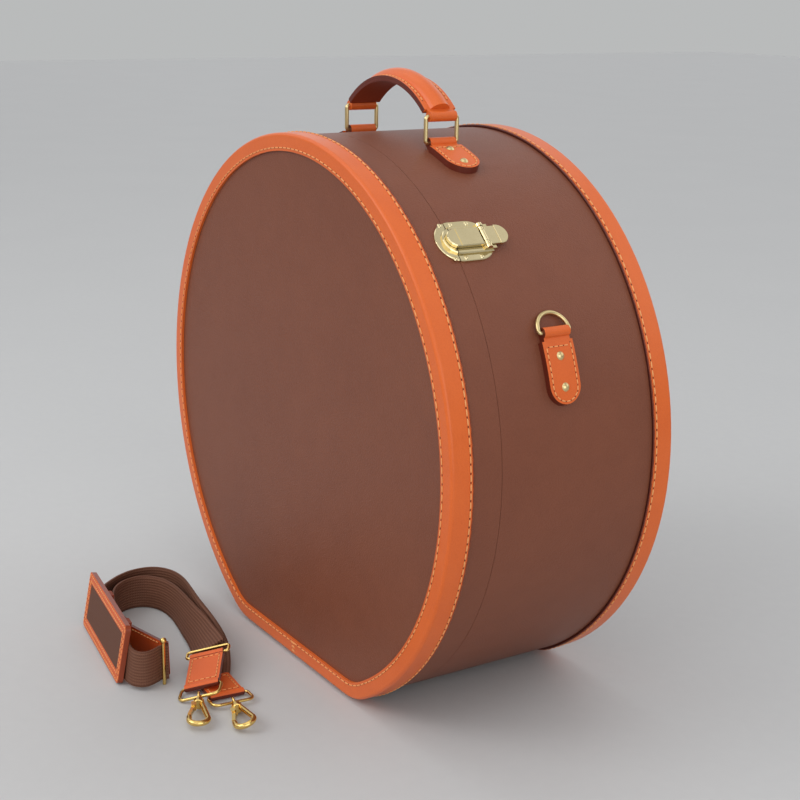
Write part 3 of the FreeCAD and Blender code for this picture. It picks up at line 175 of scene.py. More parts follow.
class NodeSheet:
    """A node tree, with short calls to add nodes to it."""

    def __init__(self, tree: bpy.types.NodeTree) -> None:
        """Takes a tree.

        Args:
            tree: The tree to add to.
        """
        self.tree = tree

    def add(self, kind: str, values: dict | None = None, **settings: object) -> bpy.types.Node:
        """Adds one node.

        Args:
            kind: Blender's name of the node type.
            values: Input name or index to a constant or to an output socket.
            settings: Properties of the node itself.

        Returns:
            The new node.
        """
        node = self.tree.nodes.new(kind)
        for key, value in settings.items():
            setattr(node, key, value)
        for key, value in (values or {}).items():
            self.put(node.inputs[key], value)
        return node

    def put(self, socket: bpy.types.NodeSocket, value: object) -> None:
        """Links an output to a socket, or sets the socket's constant.

        Args:
            socket: The input.
            value: An output socket or a constant.
        """
        if isinstance(value, bpy.types.NodeSocket):
            self.tree.links.new(value, socket)
        else:
            socket.default_value = value

    def math(self, operation: str, first: object, second: object = 0.0) -> bpy.types.NodeSocket:
        """Adds one arithmetic step.

        Args:
            operation: Blender's name of the step.
            first: Its first input.
            second: Its second input.

        Returns:
            The result.
        """
        return self.add("ShaderNodeMath", {0: first, 1: second}, operation=operation).outputs[0]

    def plus(self, first: object, second: object) -> bpy.types.NodeSocket:
        """Adds two values.

        Args:
            first: One value.
            second: The other.

        Returns:
            Their sum.
        """
        return self.math("ADD", first, second)

    def times(self, first: object, second: object) -> bpy.types.NodeSocket:
        """Multiplies two values.

        Args:
            first: One value.
            second: The other.

        Returns:
            Their product.
        """
        return self.math("MULTIPLY", first, second)

    def split(self, vector: object) -> bpy.types.bpy_prop_collection:
        """Splits a vector.

        Args:
            vector: The vector.

        Returns:
            Its parts, named X, Y and Z.
        """
        return self.add("ShaderNodeSeparateXYZ", {0: vector}).outputs

    def dot(self, first: object, second: object) -> bpy.types.NodeSocket:
        """Multiplies two vectors into a number.

        Args:
            first: One vector.
            second: The other.

        Returns:
            Their dot product.
        """
        node = self.add("ShaderNodeVectorMath", {0: first, 1: second}, operation="DOT_PRODUCT")
        return node.outputs["Value"]

    def mix(self, share: object, first: object, second: object) -> bpy.types.NodeSocket:
        """Mixes two colours.

        Args:
            share: The second colour's share.
            first: The first colour.
            second: The second colour.

        Returns:
            The mixed colour.
        """
        node = self.add("ShaderNodeMix", {"Factor": share}, data_type="RGBA")
        self.put(node.inputs[6], first)
        self.put(node.inputs[7], second)
        return node.outputs[2]

    def place(self) -> bpy.types.NodeSocket:
        """Finds where a point is.

        Returns:
            Its place in metres in the object's own frame.
        """
        return self.add("ShaderNodeTexCoord").outputs["Object"]

    def noise(self, scale: float, detail: float = 3.0) -> bpy.types.NodeSocket:
        """Adds noise.

        Args:
            scale: Waves a metre.
            detail: How many finer layers it has.

        Returns:
            The noise, from 0 to 1.
        """
        values = {"Vector": self.place(), "Scale": scale, "Detail": detail}
        return self.add("ShaderNodeTexNoise", values).outputs[0]

    def bump(self, height: object, depth: float, strength: float,
             below: object = None) -> bpy.types.NodeSocket:
        """Roughens the surface.

        Args:
            height: The relief, from 0 to 1.
            depth: The relief's depth in metres.
            strength: How much of it is used.
            below: A normal that is already rough.

        Returns:
            The new normal.
        """
        node = self.add("ShaderNodeBump", {"Height": height, "Distance": depth, "Strength": strength})
        if below is not None:
            self.put(node.inputs["Normal"], below)
        return node.outputs[0]


class Surface(NodeSheet):
    """A material's node tree."""

    def __init__(self, name: str) -> None:
        """Starts a material.

        Args:
            name: Its name.
        """
        self.material = bpy.data.materials.new(name)
        self.material.use_nodes = True
        super().__init__(self.material.node_tree)

    def shade(self, values: dict) -> bpy.types.Material:
        """Sets the surface shader.

        Args:
            values: Input name to a constant or to an output socket.

        Returns:
            The finished material.
        """
        for key, value in values.items():
            self.put(self.tree.nodes["Principled BSDF"].inputs[key], value)
        return self.material


@dataclass(frozen=True)
class Leather:
    """Leather or leathercloth with a grain, wear and painted cut edges."""

    name: str
    colour: Rgb
    deep: Rgb
    cell: float
    depth: float
    roughness: float
    edge: Rgb = Rgb(100, 38, 24)
    rule: EdgeRule = EdgeRule.NONE
    out: Point = (0.0, 0.0, 1.0)
    coat: float = 0.0

    def edge_share(self, sheet: NodeSheet) -> bpy.types.NodeSocket:
        """Finds the cut edges.

        Args:
            sheet: The material's nodes.

        Returns:
            1 on the cut edges and 0 elsewhere.
        """
        normal = sheet.add("ShaderNodeNewGeometry").outputs["True Normal"]
        if self.rule is EdgeRule.FLAT:
            return sheet.math("LESS_THAN", sheet.math("ABSOLUTE", sheet.dot(normal, self.out)), FLAT_TURN)
        side = sheet.math("GREATER_THAN", sheet.math("ABSOLUTE", sheet.split(normal)["Y"]), SIDE_TURN)
        spot = sheet.split(sheet.place())
        if self.rule is EdgeRule.SIDE:
            aside = sheet.math("ABSOLUTE", sheet.math("SUBTRACT", spot["Y"], HANDLE_Y))
            return sheet.times(side, sheet.math("GREATER_THAN", aside, HANDLE_SKIN_HALF))
        rise = sheet.math("SUBTRACT", spot["Z"], CENTRE_Z)
        arc = sheet.times(sheet.math("ARCTAN2", sheet.math("ABSOLUTE", spot["X"]), rise), CASE_RADIUS)
        flat = sheet.add("ShaderNodeCombineXYZ", {0: spot["X"], 2: rise}).outputs[0]
        radial = sheet.add("ShaderNodeVectorMath", {0: flat}, operation="NORMALIZE").outputs[0]
        steep = sheet.math("LESS_THAN", sheet.dot(normal, radial), TIP_TURN)
        past_top = sheet.math("GREATER_THAN", arc, HANDLE_TAB_ARC)
        on_loop = sheet.times(sheet.math("GREATER_THAN", arc, DRING_LOOP_START),
                              sheet.math("LESS_THAN", arc, DRING_LOOP_END))
        on_tip = sheet.times(past_top, sheet.math("SUBTRACT", 1.0, on_loop))
        return sheet.math("MAXIMUM", side, sheet.times(steep, on_tip))

    def make(self) -> bpy.types.Material:
        """Builds the material.

        Returns:
            The finished material.
        """
        sheet = Surface(self.name)
        wobble = sheet.add("ShaderNodeTexNoise", {"Vector": sheet.place(), "Scale": 0.35 / self.cell})
        shift = sheet.add("ShaderNodeVectorMath", {0: wobble.outputs["Color"], "Scale": self.cell * 1.2},
                          operation="SCALE")
        warped = sheet.add("ShaderNodeVectorMath", {0: sheet.place(), 1: shift.outputs[0]}, operation="ADD")
        grid = sheet.add("ShaderNodeTexVoronoi", {"Vector": warped.outputs[0], "Scale": 1.0 / self.cell})
        cells = grid.outputs["Distance"]
        fine = sheet.noise(2.2 / self.cell, 4.0)
        grain = sheet.plus(sheet.times(cells, -0.8), sheet.times(fine, 0.5))
        worn = sheet.plus(sheet.times(sheet.noise(9.0, 4.0), 0.5), sheet.times(sheet.noise(60.0), 0.35))
        share = sheet.plus(sheet.math("SUBTRACT", worn, 0.22), sheet.times(cells, 0.30))
        colour = sheet.mix(share, self.colour.linear(), self.deep.linear())
        rough = sheet.plus(sheet.times(fine, 0.16), self.roughness - 0.08)
        if self.rule is not EdgeRule.NONE:
            edge = self.edge_share(sheet)
            colour = sheet.mix(edge, colour, self.edge.linear())
            rough = sheet.math("SUBTRACT", rough, sheet.times(edge, 0.12))
        dents = sheet.bump(sheet.noise(30.0, 2.0), 0.0012, 0.12)
        return sheet.shade({"Base Color": colour, "Roughness": rough, "Specular IOR Level": 0.32,
                            "Coat Weight": self.coat, "Coat Roughness": 0.35,
                            "Normal": sheet.bump(grain, self.depth, 0.8, dents)})


@dataclass(frozen=True)
class Metal:
    """Plated metal with faint smudges and scratches."""

    name: str
    colour: Rgb
    roughness: float
    smudge: float

    def make(self) -> bpy.types.Material:
        """Builds the material.

        Returns:
            The finished material.
        """
        sheet = Surface(self.name)
        smear = sheet.noise(140.0, 5.0)
        tarnish = Rgb(176, 148, 92).linear()
        return sheet.shade({"Metallic": 1.0,
                            "Base Color": sheet.mix(sheet.times(smear, 0.25), self.colour.linear(), tarnish),
                            "Roughness": sheet.plus(sheet.times(smear, self.smudge), self.roughness),
                            "Normal": sheet.bump(sheet.noise(1800.0, 2.0), 0.00002, 0.25)})


@dataclass(frozen=True)
class Weave:
    """Ribbed webbing. Without a length direction the mesh's own unrolled coordinates are used."""

    name: str
    colour: Rgb
    light: Rgb
    along: Point | None = None
    across: Point | None = None

    def make(self) -> bpy.types.Material:
        """Builds the material.

        Returns:
            The finished material.
        """
        sheet = Surface(self.name)
        if self.along is None:
            unrolled = sheet.split(sheet.add("ShaderNodeUVMap", uv_map="unrolled").outputs[0])
            length, width = unrolled["X"], unrolled["Y"]
        else:
            where = sheet.place()
            length, width = sheet.dot(where, self.along), sheet.dot(where, self.across)
        turn, column_width, rib_length = 2 * math.pi, 0.0024, 0.0016
        column = sheet.math("SINE", sheet.times(width, turn / column_width))
        rib = sheet.math("SINE", sheet.plus(sheet.times(length, turn / rib_length), sheet.times(column, 1.4)))
        height = sheet.plus(sheet.times(column, 0.5), sheet.times(rib, 0.35))
        height = sheet.plus(height, sheet.times(sheet.noise(2500.0, 2.0), 0.4))
        share = sheet.plus(sheet.times(height, 0.42), 0.36)
        return sheet.shade({"Base Color": sheet.mix(share, self.colour.linear(), self.light.linear()),
                            "Roughness": 0.62, "Specular IOR Level": 0.18,
                            "Normal": sheet.bump(height, 0.00022, 0.9)})


@dataclass(frozen=True)
class Plain:
    """Cloth, board, thread or a painted floor, with a fine noise."""

    name: str
    colour: Rgb
    deep: Rgb
    scale: float
    depth: float
    roughness: float

    def make(self) -> bpy.types.Material:
        """Builds the material.

        Returns:
            The finished material.
        """
        sheet = Surface(self.name)
        grit = sheet.noise(self.scale, 4.0)
        share = sheet.plus(sheet.times(grit, 0.5), sheet.times(sheet.noise(4.0), 0.5))
        return sheet.shade({"Base Color": sheet.mix(share, self.colour.linear(), self.deep.linear()),
                            "Roughness": self.roughness, "Normal": sheet.bump(grit, self.depth, 0.6)})


@dataclass
class Palette:
    """Every finish of the box and the strap."""

    made: dict[str, bpy.types.Material] = field(default_factory=dict)

    def build(self) -> None:
        """Makes all the materials."""
        tan, shade = Rgb(228, 110, 44), Rgb(204, 86, 30)
        pad_out = StrapPad.out()
        finishes = (
            Leather("leathercloth", Rgb(130, 75, 52), Rgb(108, 58, 40), 0.0011, 0.00024, 0.44),
            Leather("trim_leather", tan, shade, 0.0009, 0.00008, 0.36, coat=0.12),
            Leather("tab_leather", Rgb(226, 108, 46), shade, 0.0009, 0.00008, 0.42, rule=EdgeRule.ARC_TIP),
            Leather("handle_leather", Rgb(228, 110, 46), shade, 0.0010, 0.00010, 0.34, rule=EdgeRule.SIDE,
                    coat=0.15),
            # Underside leather: the same orange leather painted darker, as painted shade under the handle and
            # behind the pad.
            Leather("under_leather_painted_shade", Rgb(150, 66, 38), Rgb(112, 44, 26), 0.0010, 0.0001, 0.6,
                    rule=EdgeRule.SIDE),
            Leather("pad_leather", Rgb(216, 98, 48), shade, 0.0009, 0.00008, 0.45, rule=EdgeRule.FLAT,
                    out=pad_out, edge=Rgb(140, 62, 36)),
            Leather("link_leather", Rgb(214, 90, 44), shade, 0.0009, 0.00008, 0.45, rule=EdgeRule.FLAT,
                    out=LINK_OUT),
            Leather("strap_tab_leather", Rgb(222, 104, 48), shade, 0.0009, 0.00008, 0.45, rule=EdgeRule.FLAT,
                    out=STRAP_TAB_OUT),
            Leather("edge_paint", Rgb(92, 34, 24), Rgb(66, 24, 18), 0.002, 0.00005, 0.35),
            Metal("polished_gold", Rgb(238, 222, 176), 0.07, 0.10),
            Metal("warm_gold", Rgb(236, 200, 120), 0.10, 0.12),
            Metal("satin_gold", Rgb(226, 204, 150), 0.24, 0.12),
            Weave("webbing", Rgb(82, 48, 34), Rgb(134, 92, 72)),
            Weave("pad_webbing", Rgb(78, 46, 34), Rgb(122, 82, 64), StrapPad.up(), StrapPad.along()),
            Plain("lining", Rgb(196, 170, 140), Rgb(178, 150, 120), 1400.0, 0.0001, 0.85),
            Plain("board", Rgb(158, 140, 116), Rgb(136, 118, 96), 500.0, 0.0001, 0.9),
            Plain("thread", Rgb(244, 176, 112), Rgb(226, 150, 88), 3000.0, 0.0001, 0.6),
            # Needle holes: a dark colour painted as the shade inside them.
            Plain("needle_hole_shade", Rgb(96, 38, 22), Rgb(76, 28, 16), 900.0, 0.0001, 0.8),
        )
        for finish in finishes:
            self.made[finish.name] = finish.make()
            LOG.info("finish %s", finish.name)

    def dress(self, obj: bpy.types.Object, name: str) -> None:
        """Gives an object one finish.

        Args:
            obj: The object.
            name: The finish's name.
        """
        obj.data.materials.clear()
        obj.data.materials.append(self.made[name])


@dataclass(frozen=True)
class StrapPad:
    """Where the shoulder pad stands."""

    corner: Point = (-0.144, -0.217, 0.0013)
    turn: float = -8.5
    lean: float = 10.5
    length: float = 0.122
    height: float = 0.047

    @classmethod
    def along(cls) -> Point:
        """Gives the pad's long direction.

        Returns:
            The direction.
        """
        angle = math.radians(cls.turn)
        return (math.cos(angle), math.sin(angle), 0.0)

    @classmethod
    def up(cls) -> Point:
        """Gives the pad's height direction.

        Returns:
            The direction.
        """
        angle, lean = math.radians(cls.turn), math.radians(cls.lean)
        return (-math.sin(angle) * math.sin(lean), math.cos(angle) * math.sin(lean), math.cos(lean))

    @classmethod
    def out(cls) -> Point:
        """Gives the direction that the pad's front faces.

        Returns:
            The direction.
        """
        return tuple(Vector(cls.along()).cross(Vector(cls.up())))

    @classmethod
    def spot(cls, x: float, z: float) -> Vector:
        """Finds a point of the pad's front.

        Args:
            x: Metres along from its lower left corner.
            z: Metres up from there.

        Returns:
            The point.
        """
        return Vector(cls.corner) + Vector(cls.along()) * x + Vector(cls.up()) * z


def outline(grow: float, step: float) -> list[tuple[Vector, Vector]]:
    """Walks round the box's outline, seen from the front.

    Args:
        grow: How far outside the wall to walk, in metres.
        step: About how far apart the stops are.

    Returns:
        A point and an outward direction for each stop, both with y = 0.
    """
    stops: list[tuple[Vector, Vector]] = []
    tangent = math.atan2(BASE_Z + CORNER_RADIUS - CENTRE_Z, CORNER_X)

    def arc(cx: float, cz: float, radius: float, start: float, end: float) -> None:
        count = max(2, round(abs(end - start) * radius / step))
        for i in range(count):
            angle = start + (end - start) * i / count
            way = Vector((math.cos(angle), 0, math.sin(angle)))
            stops.append((Vector((cx, 0, cz)) + way * radius, way))

    flat = round(2 * CORNER_X / step)
    for i in range(flat):
        x = -CORNER_X + 2 * CORNER_X * i / flat
        stops.append((Vector((x, 0, BASE_Z - grow)), Vector((0, 0, -1))))
    corner_z = BASE_Z + CORNER_RADIUS
    arc(CORNER_X, corner_z, CORNER_RADIUS + grow, -math.pi / 2, tangent)
    arc(0.0, CENTRE_Z, CASE_RADIUS + grow, tangent, math.pi - tangent)
    arc(-CORNER_X, corner_z, CORNER_RADIUS + grow, math.pi - tangent, 1.5 * math.pi)
    return stops


def on_wall(arc: float, y: float, lift: float, side: int) -> tuple[Vector, Vector]:
    """Finds a place on the round wall.

    Args:
        arc: Distance along the wall from the top, in metres.
        y: Depth.
        lift: Height above the wall.
        side: 1 for the right side and -1 for the left.

    Returns:
        The point and the outward direction.
    """
    angle = arc / CASE_RADIUS
    way = Vector((side * math.sin(angle), 0, math.cos(angle)))
    return Vector((0, y, CENTRE_Z)) + way * (CASE_RADIUS + lift), way


def make_mesh(name: str, points: Sequence[Vector], faces: Sequence[Sequence[int]],
              smooth: bool = True) -> bpy.types.Object:
    """Makes a mesh object.

    Args:
        name: Its name.
        points: Its corners in metres.
        faces: The corners of each face.
        smooth: Whether it is shaded smooth.

    Returns:
        The new object.
    """
    mesh = bpy.data.meshes.new(name)
    mesh.from_pydata([tuple(p) for p in points], [], [tuple(f) for f in faces])
    mesh.polygons.foreach_set("use_smooth", [smooth] * len(mesh.polygons))
    mesh.update()
    obj = bpy.data.objects.new(name, mesh)
    bpy.context.scene.collection.objects.link(obj)
    return obj


@dataclass(frozen=True)
class Seam:
    """How a row is sewn: from stitch to stitch, a stitch's length and half its thickness, in metres."""

    pitch: float
    stitch: float
    thick: float


WALL_SEAM = Seam(0.0062, 0.0047, 0.00048)
FACE_SEAM = Seam(0.0062, 0.0047, 0.00042)
JOINT_SEAM = Seam(0.0052, 0.0046, 0.00042)
TAB_SEAM = Seam(0.0042, 0.0031, 0.00038)
HANDLE_SEAM = Seam(0.0046, 0.0035, 0.0004)
PAD_SEAM = Seam(0.0042, 0.0031, 0.00036)
STRAP_TAB_SEAM = Seam(0.0040, 0.0030, 0.00036)


@dataclass
class Sewing:
    """Lays rows of stitches on the frame's leather pieces."""

    frame: dict
    palette: Palette
    surfaces: dict[str, BVHTree] = field(default_factory=dict)

    def surface(self, node: str) -> BVHTree:
        """Returns a node's surface for finding where a stitch lies.

        Args:
            node: The CAD node.

        Returns:
            The search tree.
        """
        if node not in self.surfaces:
            mesh = self.frame["nodes"][node].data
            corners = [v.co.copy() for v in mesh.vertices]
            self.surfaces[node] = BVHTree.FromPolygons(corners, [tuple(p.vertices) for p in mesh.polygons])
        return self.surfaces[node]

    def drop(self, node: str, spot: Vector, way: Vector) -> tuple[Vector, Vector] | None:
        """Finds the surface under a point.

        Args:
            node: The CAD node.
            spot: A point near the surface.
            way: The outward direction.

        Returns:
            The point on the surface and its normal, or None where there is no surface.
        """
        hit, normal, _, _ = self.surface(node).ray_cast(spot + way * PROBE_RISE, -way, PROBE_REACH)
        if hit is None:
            return None
        if normal.dot(way) < 0:
            normal = -normal
        return hit, normal

    def row(self, name: str, node: str, body: str, path: Iterable[tuple[Vector, Vector]], seam: Seam,
            loop: Loop = Loop.OPEN) -> None:
        """Sews one row of stitches, with a dark bead of painted shade for the needle hole between each two.

        Args:
            name: The row's name.
            node: The CAD node that it is sewn on.
            body: The body that it moves with.
            path: Points near the surface, each with an outward direction.
            seam: How it is sewn.
            loop: Whether the row closes.
        """
        found = [self.drop(node, spot, way) for spot, way in path]
        line = [f for f in found if f is not None]
        if loop is Loop.CLOSED:
            line.append(line[0])
        places = spaced(line, seam.pitch)
        thick, hole_shade_half = seam.thick, (seam.pitch - seam.stitch) * 0.45
        points: list[Vector] = []
        faces: list[tuple[int, ...]] = []
        hole_shade_points: list[Vector] = []
        hole_shade_faces: list[tuple[int, ...]] = []
        for spot, normal, travel in places:
            side = normal.cross(travel).normalized()
            bead(points, faces, spot + normal * thick * 0.45, travel, side, normal, seam.stitch / 2,
                 thick * 1.15, thick)
            # A dark bead between stitches: painted shade in the needle hole.
            gap = spot + travel * (seam.pitch / 2) + normal * HOLE_SHADE_LIFT
            bead(hole_shade_points, hole_shade_faces, gap, travel, side, normal, hole_shade_half, thick * 0.9, HOLE_SHADE_HALF_DEPTH)
        thread = make_mesh(name, points, faces)
        self.palette.dress(thread, "thread")
        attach(thread, body)
        hole_shades = make_mesh(name + "_hole_shades", hole_shade_points, hole_shade_faces)
        self.palette.dress(hole_shades, "needle_hole_shade")
        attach(hole_shades, body)
        LOG.info("row %s: %d stitches", name, len(places))


def spaced(line: Sequence[tuple[Vector, Vector]], pitch: float) -> list[tuple[Vector, Vector, Vector]]:
    """Spaces places evenly along a line of surface points.

    Args:
        line: Points with normals.
        pitch: The distance between places, which is fitted to the line's length.

    Returns:
        Point, normal and direction of travel for each place.
    """
    runs = [0.0]
    for (a, _), (b, _) in zip(line, line[1:]):
        runs.append(runs[-1] + (b - a).length)
    count = max(1, round(runs[-1] / pitch))
    places = []
    k = 0
    for i in range(count):
        at = (i + 0.5) * runs[-1] / count
        while k < len(runs) - 2 and runs[k + 1] < at:
            k += 1
        (a, na), (b, nb) = line[k], line[k + 1]
        share = (at - runs[k]) / max(runs[k + 1] - runs[k], 1e-9)
        places.append((a.lerp(b, share), na.lerp(nb, share).normalized(), (b - a).normalized()))
    return places


def bead(points: list[Vector], faces: list[tuple[int, ...]], centre: Vector, travel: Vector, side: Vector,
         normal: Vector, half: float, wide: float, tall: float) -> None:
    """Adds one rounded bead, such as a stitch, to a mesh under construction.

    Args:
        points: The mesh's corners so far.
        faces: The mesh's faces so far.
        centre: The bead's middle.
        travel: Its long direction.
        side: Its width direction.
        normal: Its height direction.
        half: Half its length.
        wide: Half its width.
        tall: Half its height.
    """
    sides = 8
    rings = ((-1.0, 0.25), (-0.86, 0.75), (-0.5, 1.0), (0.5, 1.0), (0.86, 0.75), (1.0, 0.25))
    first = len(points)
    for along, size in rings:
        for j in range(sides):
            angle = 2 * math.pi * j / sides
            offset = side * (math.cos(angle) * wide * size) + normal * (math.sin(angle) * tall * size)
            points.append(centre + travel * (along * half) + offset)
    for r in range(len(rings) - 1):
        for j in range(sides):
            a = first + r * sides + j
            b = first + r * sides + (j + 1) % sides
            faces.append((a, b, b + sides, a + sides))
    faces.append(tuple(first + j for j in reversed(range(sides))))
    faces.append(tuple(first + (len(rings) - 1) * sides + j for j in range(sides)))


@dataclass
class Box:
    """The case and its lid: covers, trims and their stitching."""

    frame: dict
    palette: Palette
    sewing: Sewing

    def build(self) -> None:
        """Dresses the panels and sews the trims."""
        finishes = {
            "leathercloth": ("case_back_cover", "case_wall_cover", "lid_front_cover", "lid_wall_cover"),
            "trim_leather": ("front_trim", "back_trim"),
            "board": ("case_wall", "lid_wall", "case_back_panel", "lid_front_panel"),
            "lining": ("case_lining_back", "case_lining_wall", "lid_lining_front", "lid_lining_wall",
                       "locating_collar"),
        }
        for finish, nodes in finishes.items():
            for node in nodes:
                self.palette.dress(self.frame["nodes"][node], finish)
        sides = (("front", "lid", -1), ("back", "case", 1))
        for name, body, way in sides:
            path = [(spot + Vector((0, way * TRIM_STITCH_Y, 0)), out)
                    for spot, out in outline(WALL_ROW_GROW, OUTLINE_STEP)]
            self.sewing.row(f"{name}_trim_thread", f"{name}_trim", body, path, WALL_SEAM, Loop.CLOSED)
        for name, body, way in sides:
            path = [(spot + Vector((0, way * FACE_Y, 0)), Vector((0, way, 0)))
                    for spot, _ in outline(-FACE_INSET, OUTLINE_STEP)]
            self.sewing.row(f"{name}_face_thread", f"{name}_trim", body, path, FACE_SEAM, Loop.CLOSED)
        for name, body, way in sides:
            self.paint_edge(name, body, way)
        self.cross_stitch()

    def paint_edge(self, name: str, body: str, way: int) -> None:
        """Paints the cut edge of one trim, as a thin line round the wall.

        Args:
            name: Which trim.
            body: Its body.
            way: -1 for the front and 1 for the back.
        """
        stops = outline(0.0, EDGE_STEP)
        points, faces = [], []
        profile = ((0.0001, 0.0), (0.0001, -0.00035 * way), (0.0017, -0.0004 * way), (0.00215, 0.0005 * way),
                   (0.0018, 0.0007 * way))
        for spot, out in stops:
            for lift, along in profile:
                points.append(spot + out * lift + Vector((0, way * TRIM_EDGE_Y + along, 0)))
        size = len(profile)
        for i in range(len(stops)):
            after = (i + 1) % len(stops)
            for j in range(size):
                k = (j + 1) % size
                faces.append((i * size + j, i * size + k, after * size + k, after * size + j))
        edge = make_mesh(f"{name}_trim_edge", points, faces)
        self.palette.dress(edge, "edge_paint")
        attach(edge, body)

    def cross_stitch(self) -> None:
        """Sews the butt joint of the front trim, low in the middle of its front."""
        lowest, pitch, half, rise = 0.0055, 0.0032, 0.0024, 0.0016
        for name, hand in (("trim_joint", 1), ("trim_joint_back", -1)):
            for i in range(3):
                path = []
                for j in range(9):
                    share = j / 8
                    x, z = hand * (-half + 2 * half * share), lowest + i * pitch + rise * share
                    path.append((Vector((x, -FACE_Y, z)), Vector((0, -1, 0))))
                self.sewing.row(f"{name}_{i}", "front_trim", "lid", path, JOINT_SEAM)


@dataclass
class Tabs:
    """The four leather tabs on the wall, their rivets and rings."""

    frame: dict
    palette: Palette
    sewing: Sewing

    def build(self) -> None:
        """Dresses and sews the tabs."""
        for side, sign in (("right", 1), ("left", -1)):
            for node in (f"handle_tab_{side}", f"dring_tab_{side}"):
                self.palette.dress(self.frame["nodes"][node], "tab_leather")
            for node in (f"handle_ring_{side}", f"dring_{side}"):
                self.palette.dress(self.frame["nodes"][node], "satin_gold")
            self.sew(f"handle_tab_{side}", sign, 0.0655, 0.097, 0.0275, HANDLE_Y)
            self.sew(f"dring_tab_{side}", sign, 0.2475, 0.287, 0.0256, DRING_Y)
        self.palette.dress(self.frame["nodes"]["tab_rivets"], "satin_gold")

    def sew(self, node: str, side: int, start: float, tip: float, width: float, y: float) -> None:
        """Sews round one tab: along one edge, round the tip, back, and across at the loop.

        Args:
            node: The tab's CAD node.
            side: 1 for the right side and -1 for the left.
            start: Where the row starts along the wall.
            tip: Where the tab ends along the wall.
            width: The tab's width.
            y: The tab's middle.
        """
        inset, lift = 0.0026, 0.005
        half = width / 2 - inset
        middle = tip - width / 2
        stops = [(start + (middle - start) * i / 12, y - half) for i in range(13)]
        for i in range(1, 24):
            angle = -math.pi / 2 + math.pi * i / 24
            stops.append((middle + half * math.cos(angle), y + half * math.sin(angle)))
        stops += [(middle + (start - middle) * i / 12, y + half) for i in range(13)]
        stops += [(start, y + half - 2 * half * i / 12) for i in range(1, 12)]
        path = [on_wall(arc, depth, lift, side) for arc, depth in stops]
        self.sewing.row(node + "_thread", node, "case", path, TAB_SEAM)


@dataclass
class Handle:
    """The leather handle."""

    frame: dict
    palette: Palette
    sewing: Sewing

    def build(self) -> None:
        """Dresses and sews the handle."""
        # The handle's underside gets the darker leather: painted shade.
        for node, finish in (("handle_top_leather", "handle_leather"), ("handle_filler", "handle_leather"),
                             ("handle_under_leather", "under_leather_painted_shade")):
            self.palette.dress(self.frame["nodes"][node], finish)
        for name, offset in (("front", -0.0108), ("back", 0.0108)):
            self.sewing.row(f"handle_{name}_thread", "handle_top_leather", "handle", self.over(offset),
                            HANDLE_SEAM)

    def over(self, offset: float) -> list[tuple[Vector, Vector]]:
        """Walks over the handle from left to right.

        Args:
            offset: Distance from the handle's middle line.

        Returns:
            Points near the upper surface with outward directions.
        """
        reach, crown, fall, spread = 0.050, 0.4615, 5.6, 7.0
        path = []
        for i in range(61):
            x = -reach + 2 * reach * i / 60
            way = Vector((x * spread, 0, 1)).normalized()
            path.append((Vector((x, HANDLE_Y + offset, crown - fall * x * x)), way))
        return path


@dataclass
class Fittings:
    """Latches, hinges, feet and small rivets."""

    frame: dict
    palette: Palette

    def build(self) -> None:
        """Dresses the metal parts."""
        names = ["case_feet", "latch_pins", "hinge_case_leaves", "hinge_lid_leaves", "hinge_pins",
                 "case_small_rivets", "lid_small_rivets"]
        for side in ("right", "left"):
            names += [f"latch_{part}_{side}" for part in ("base", "catch", "claw", "lever")]
        for name in names:
            self.palette.dress(self.frame["nodes"][name], "polished_gold")
        LOG.info("fittings: %d pieces", len(names))


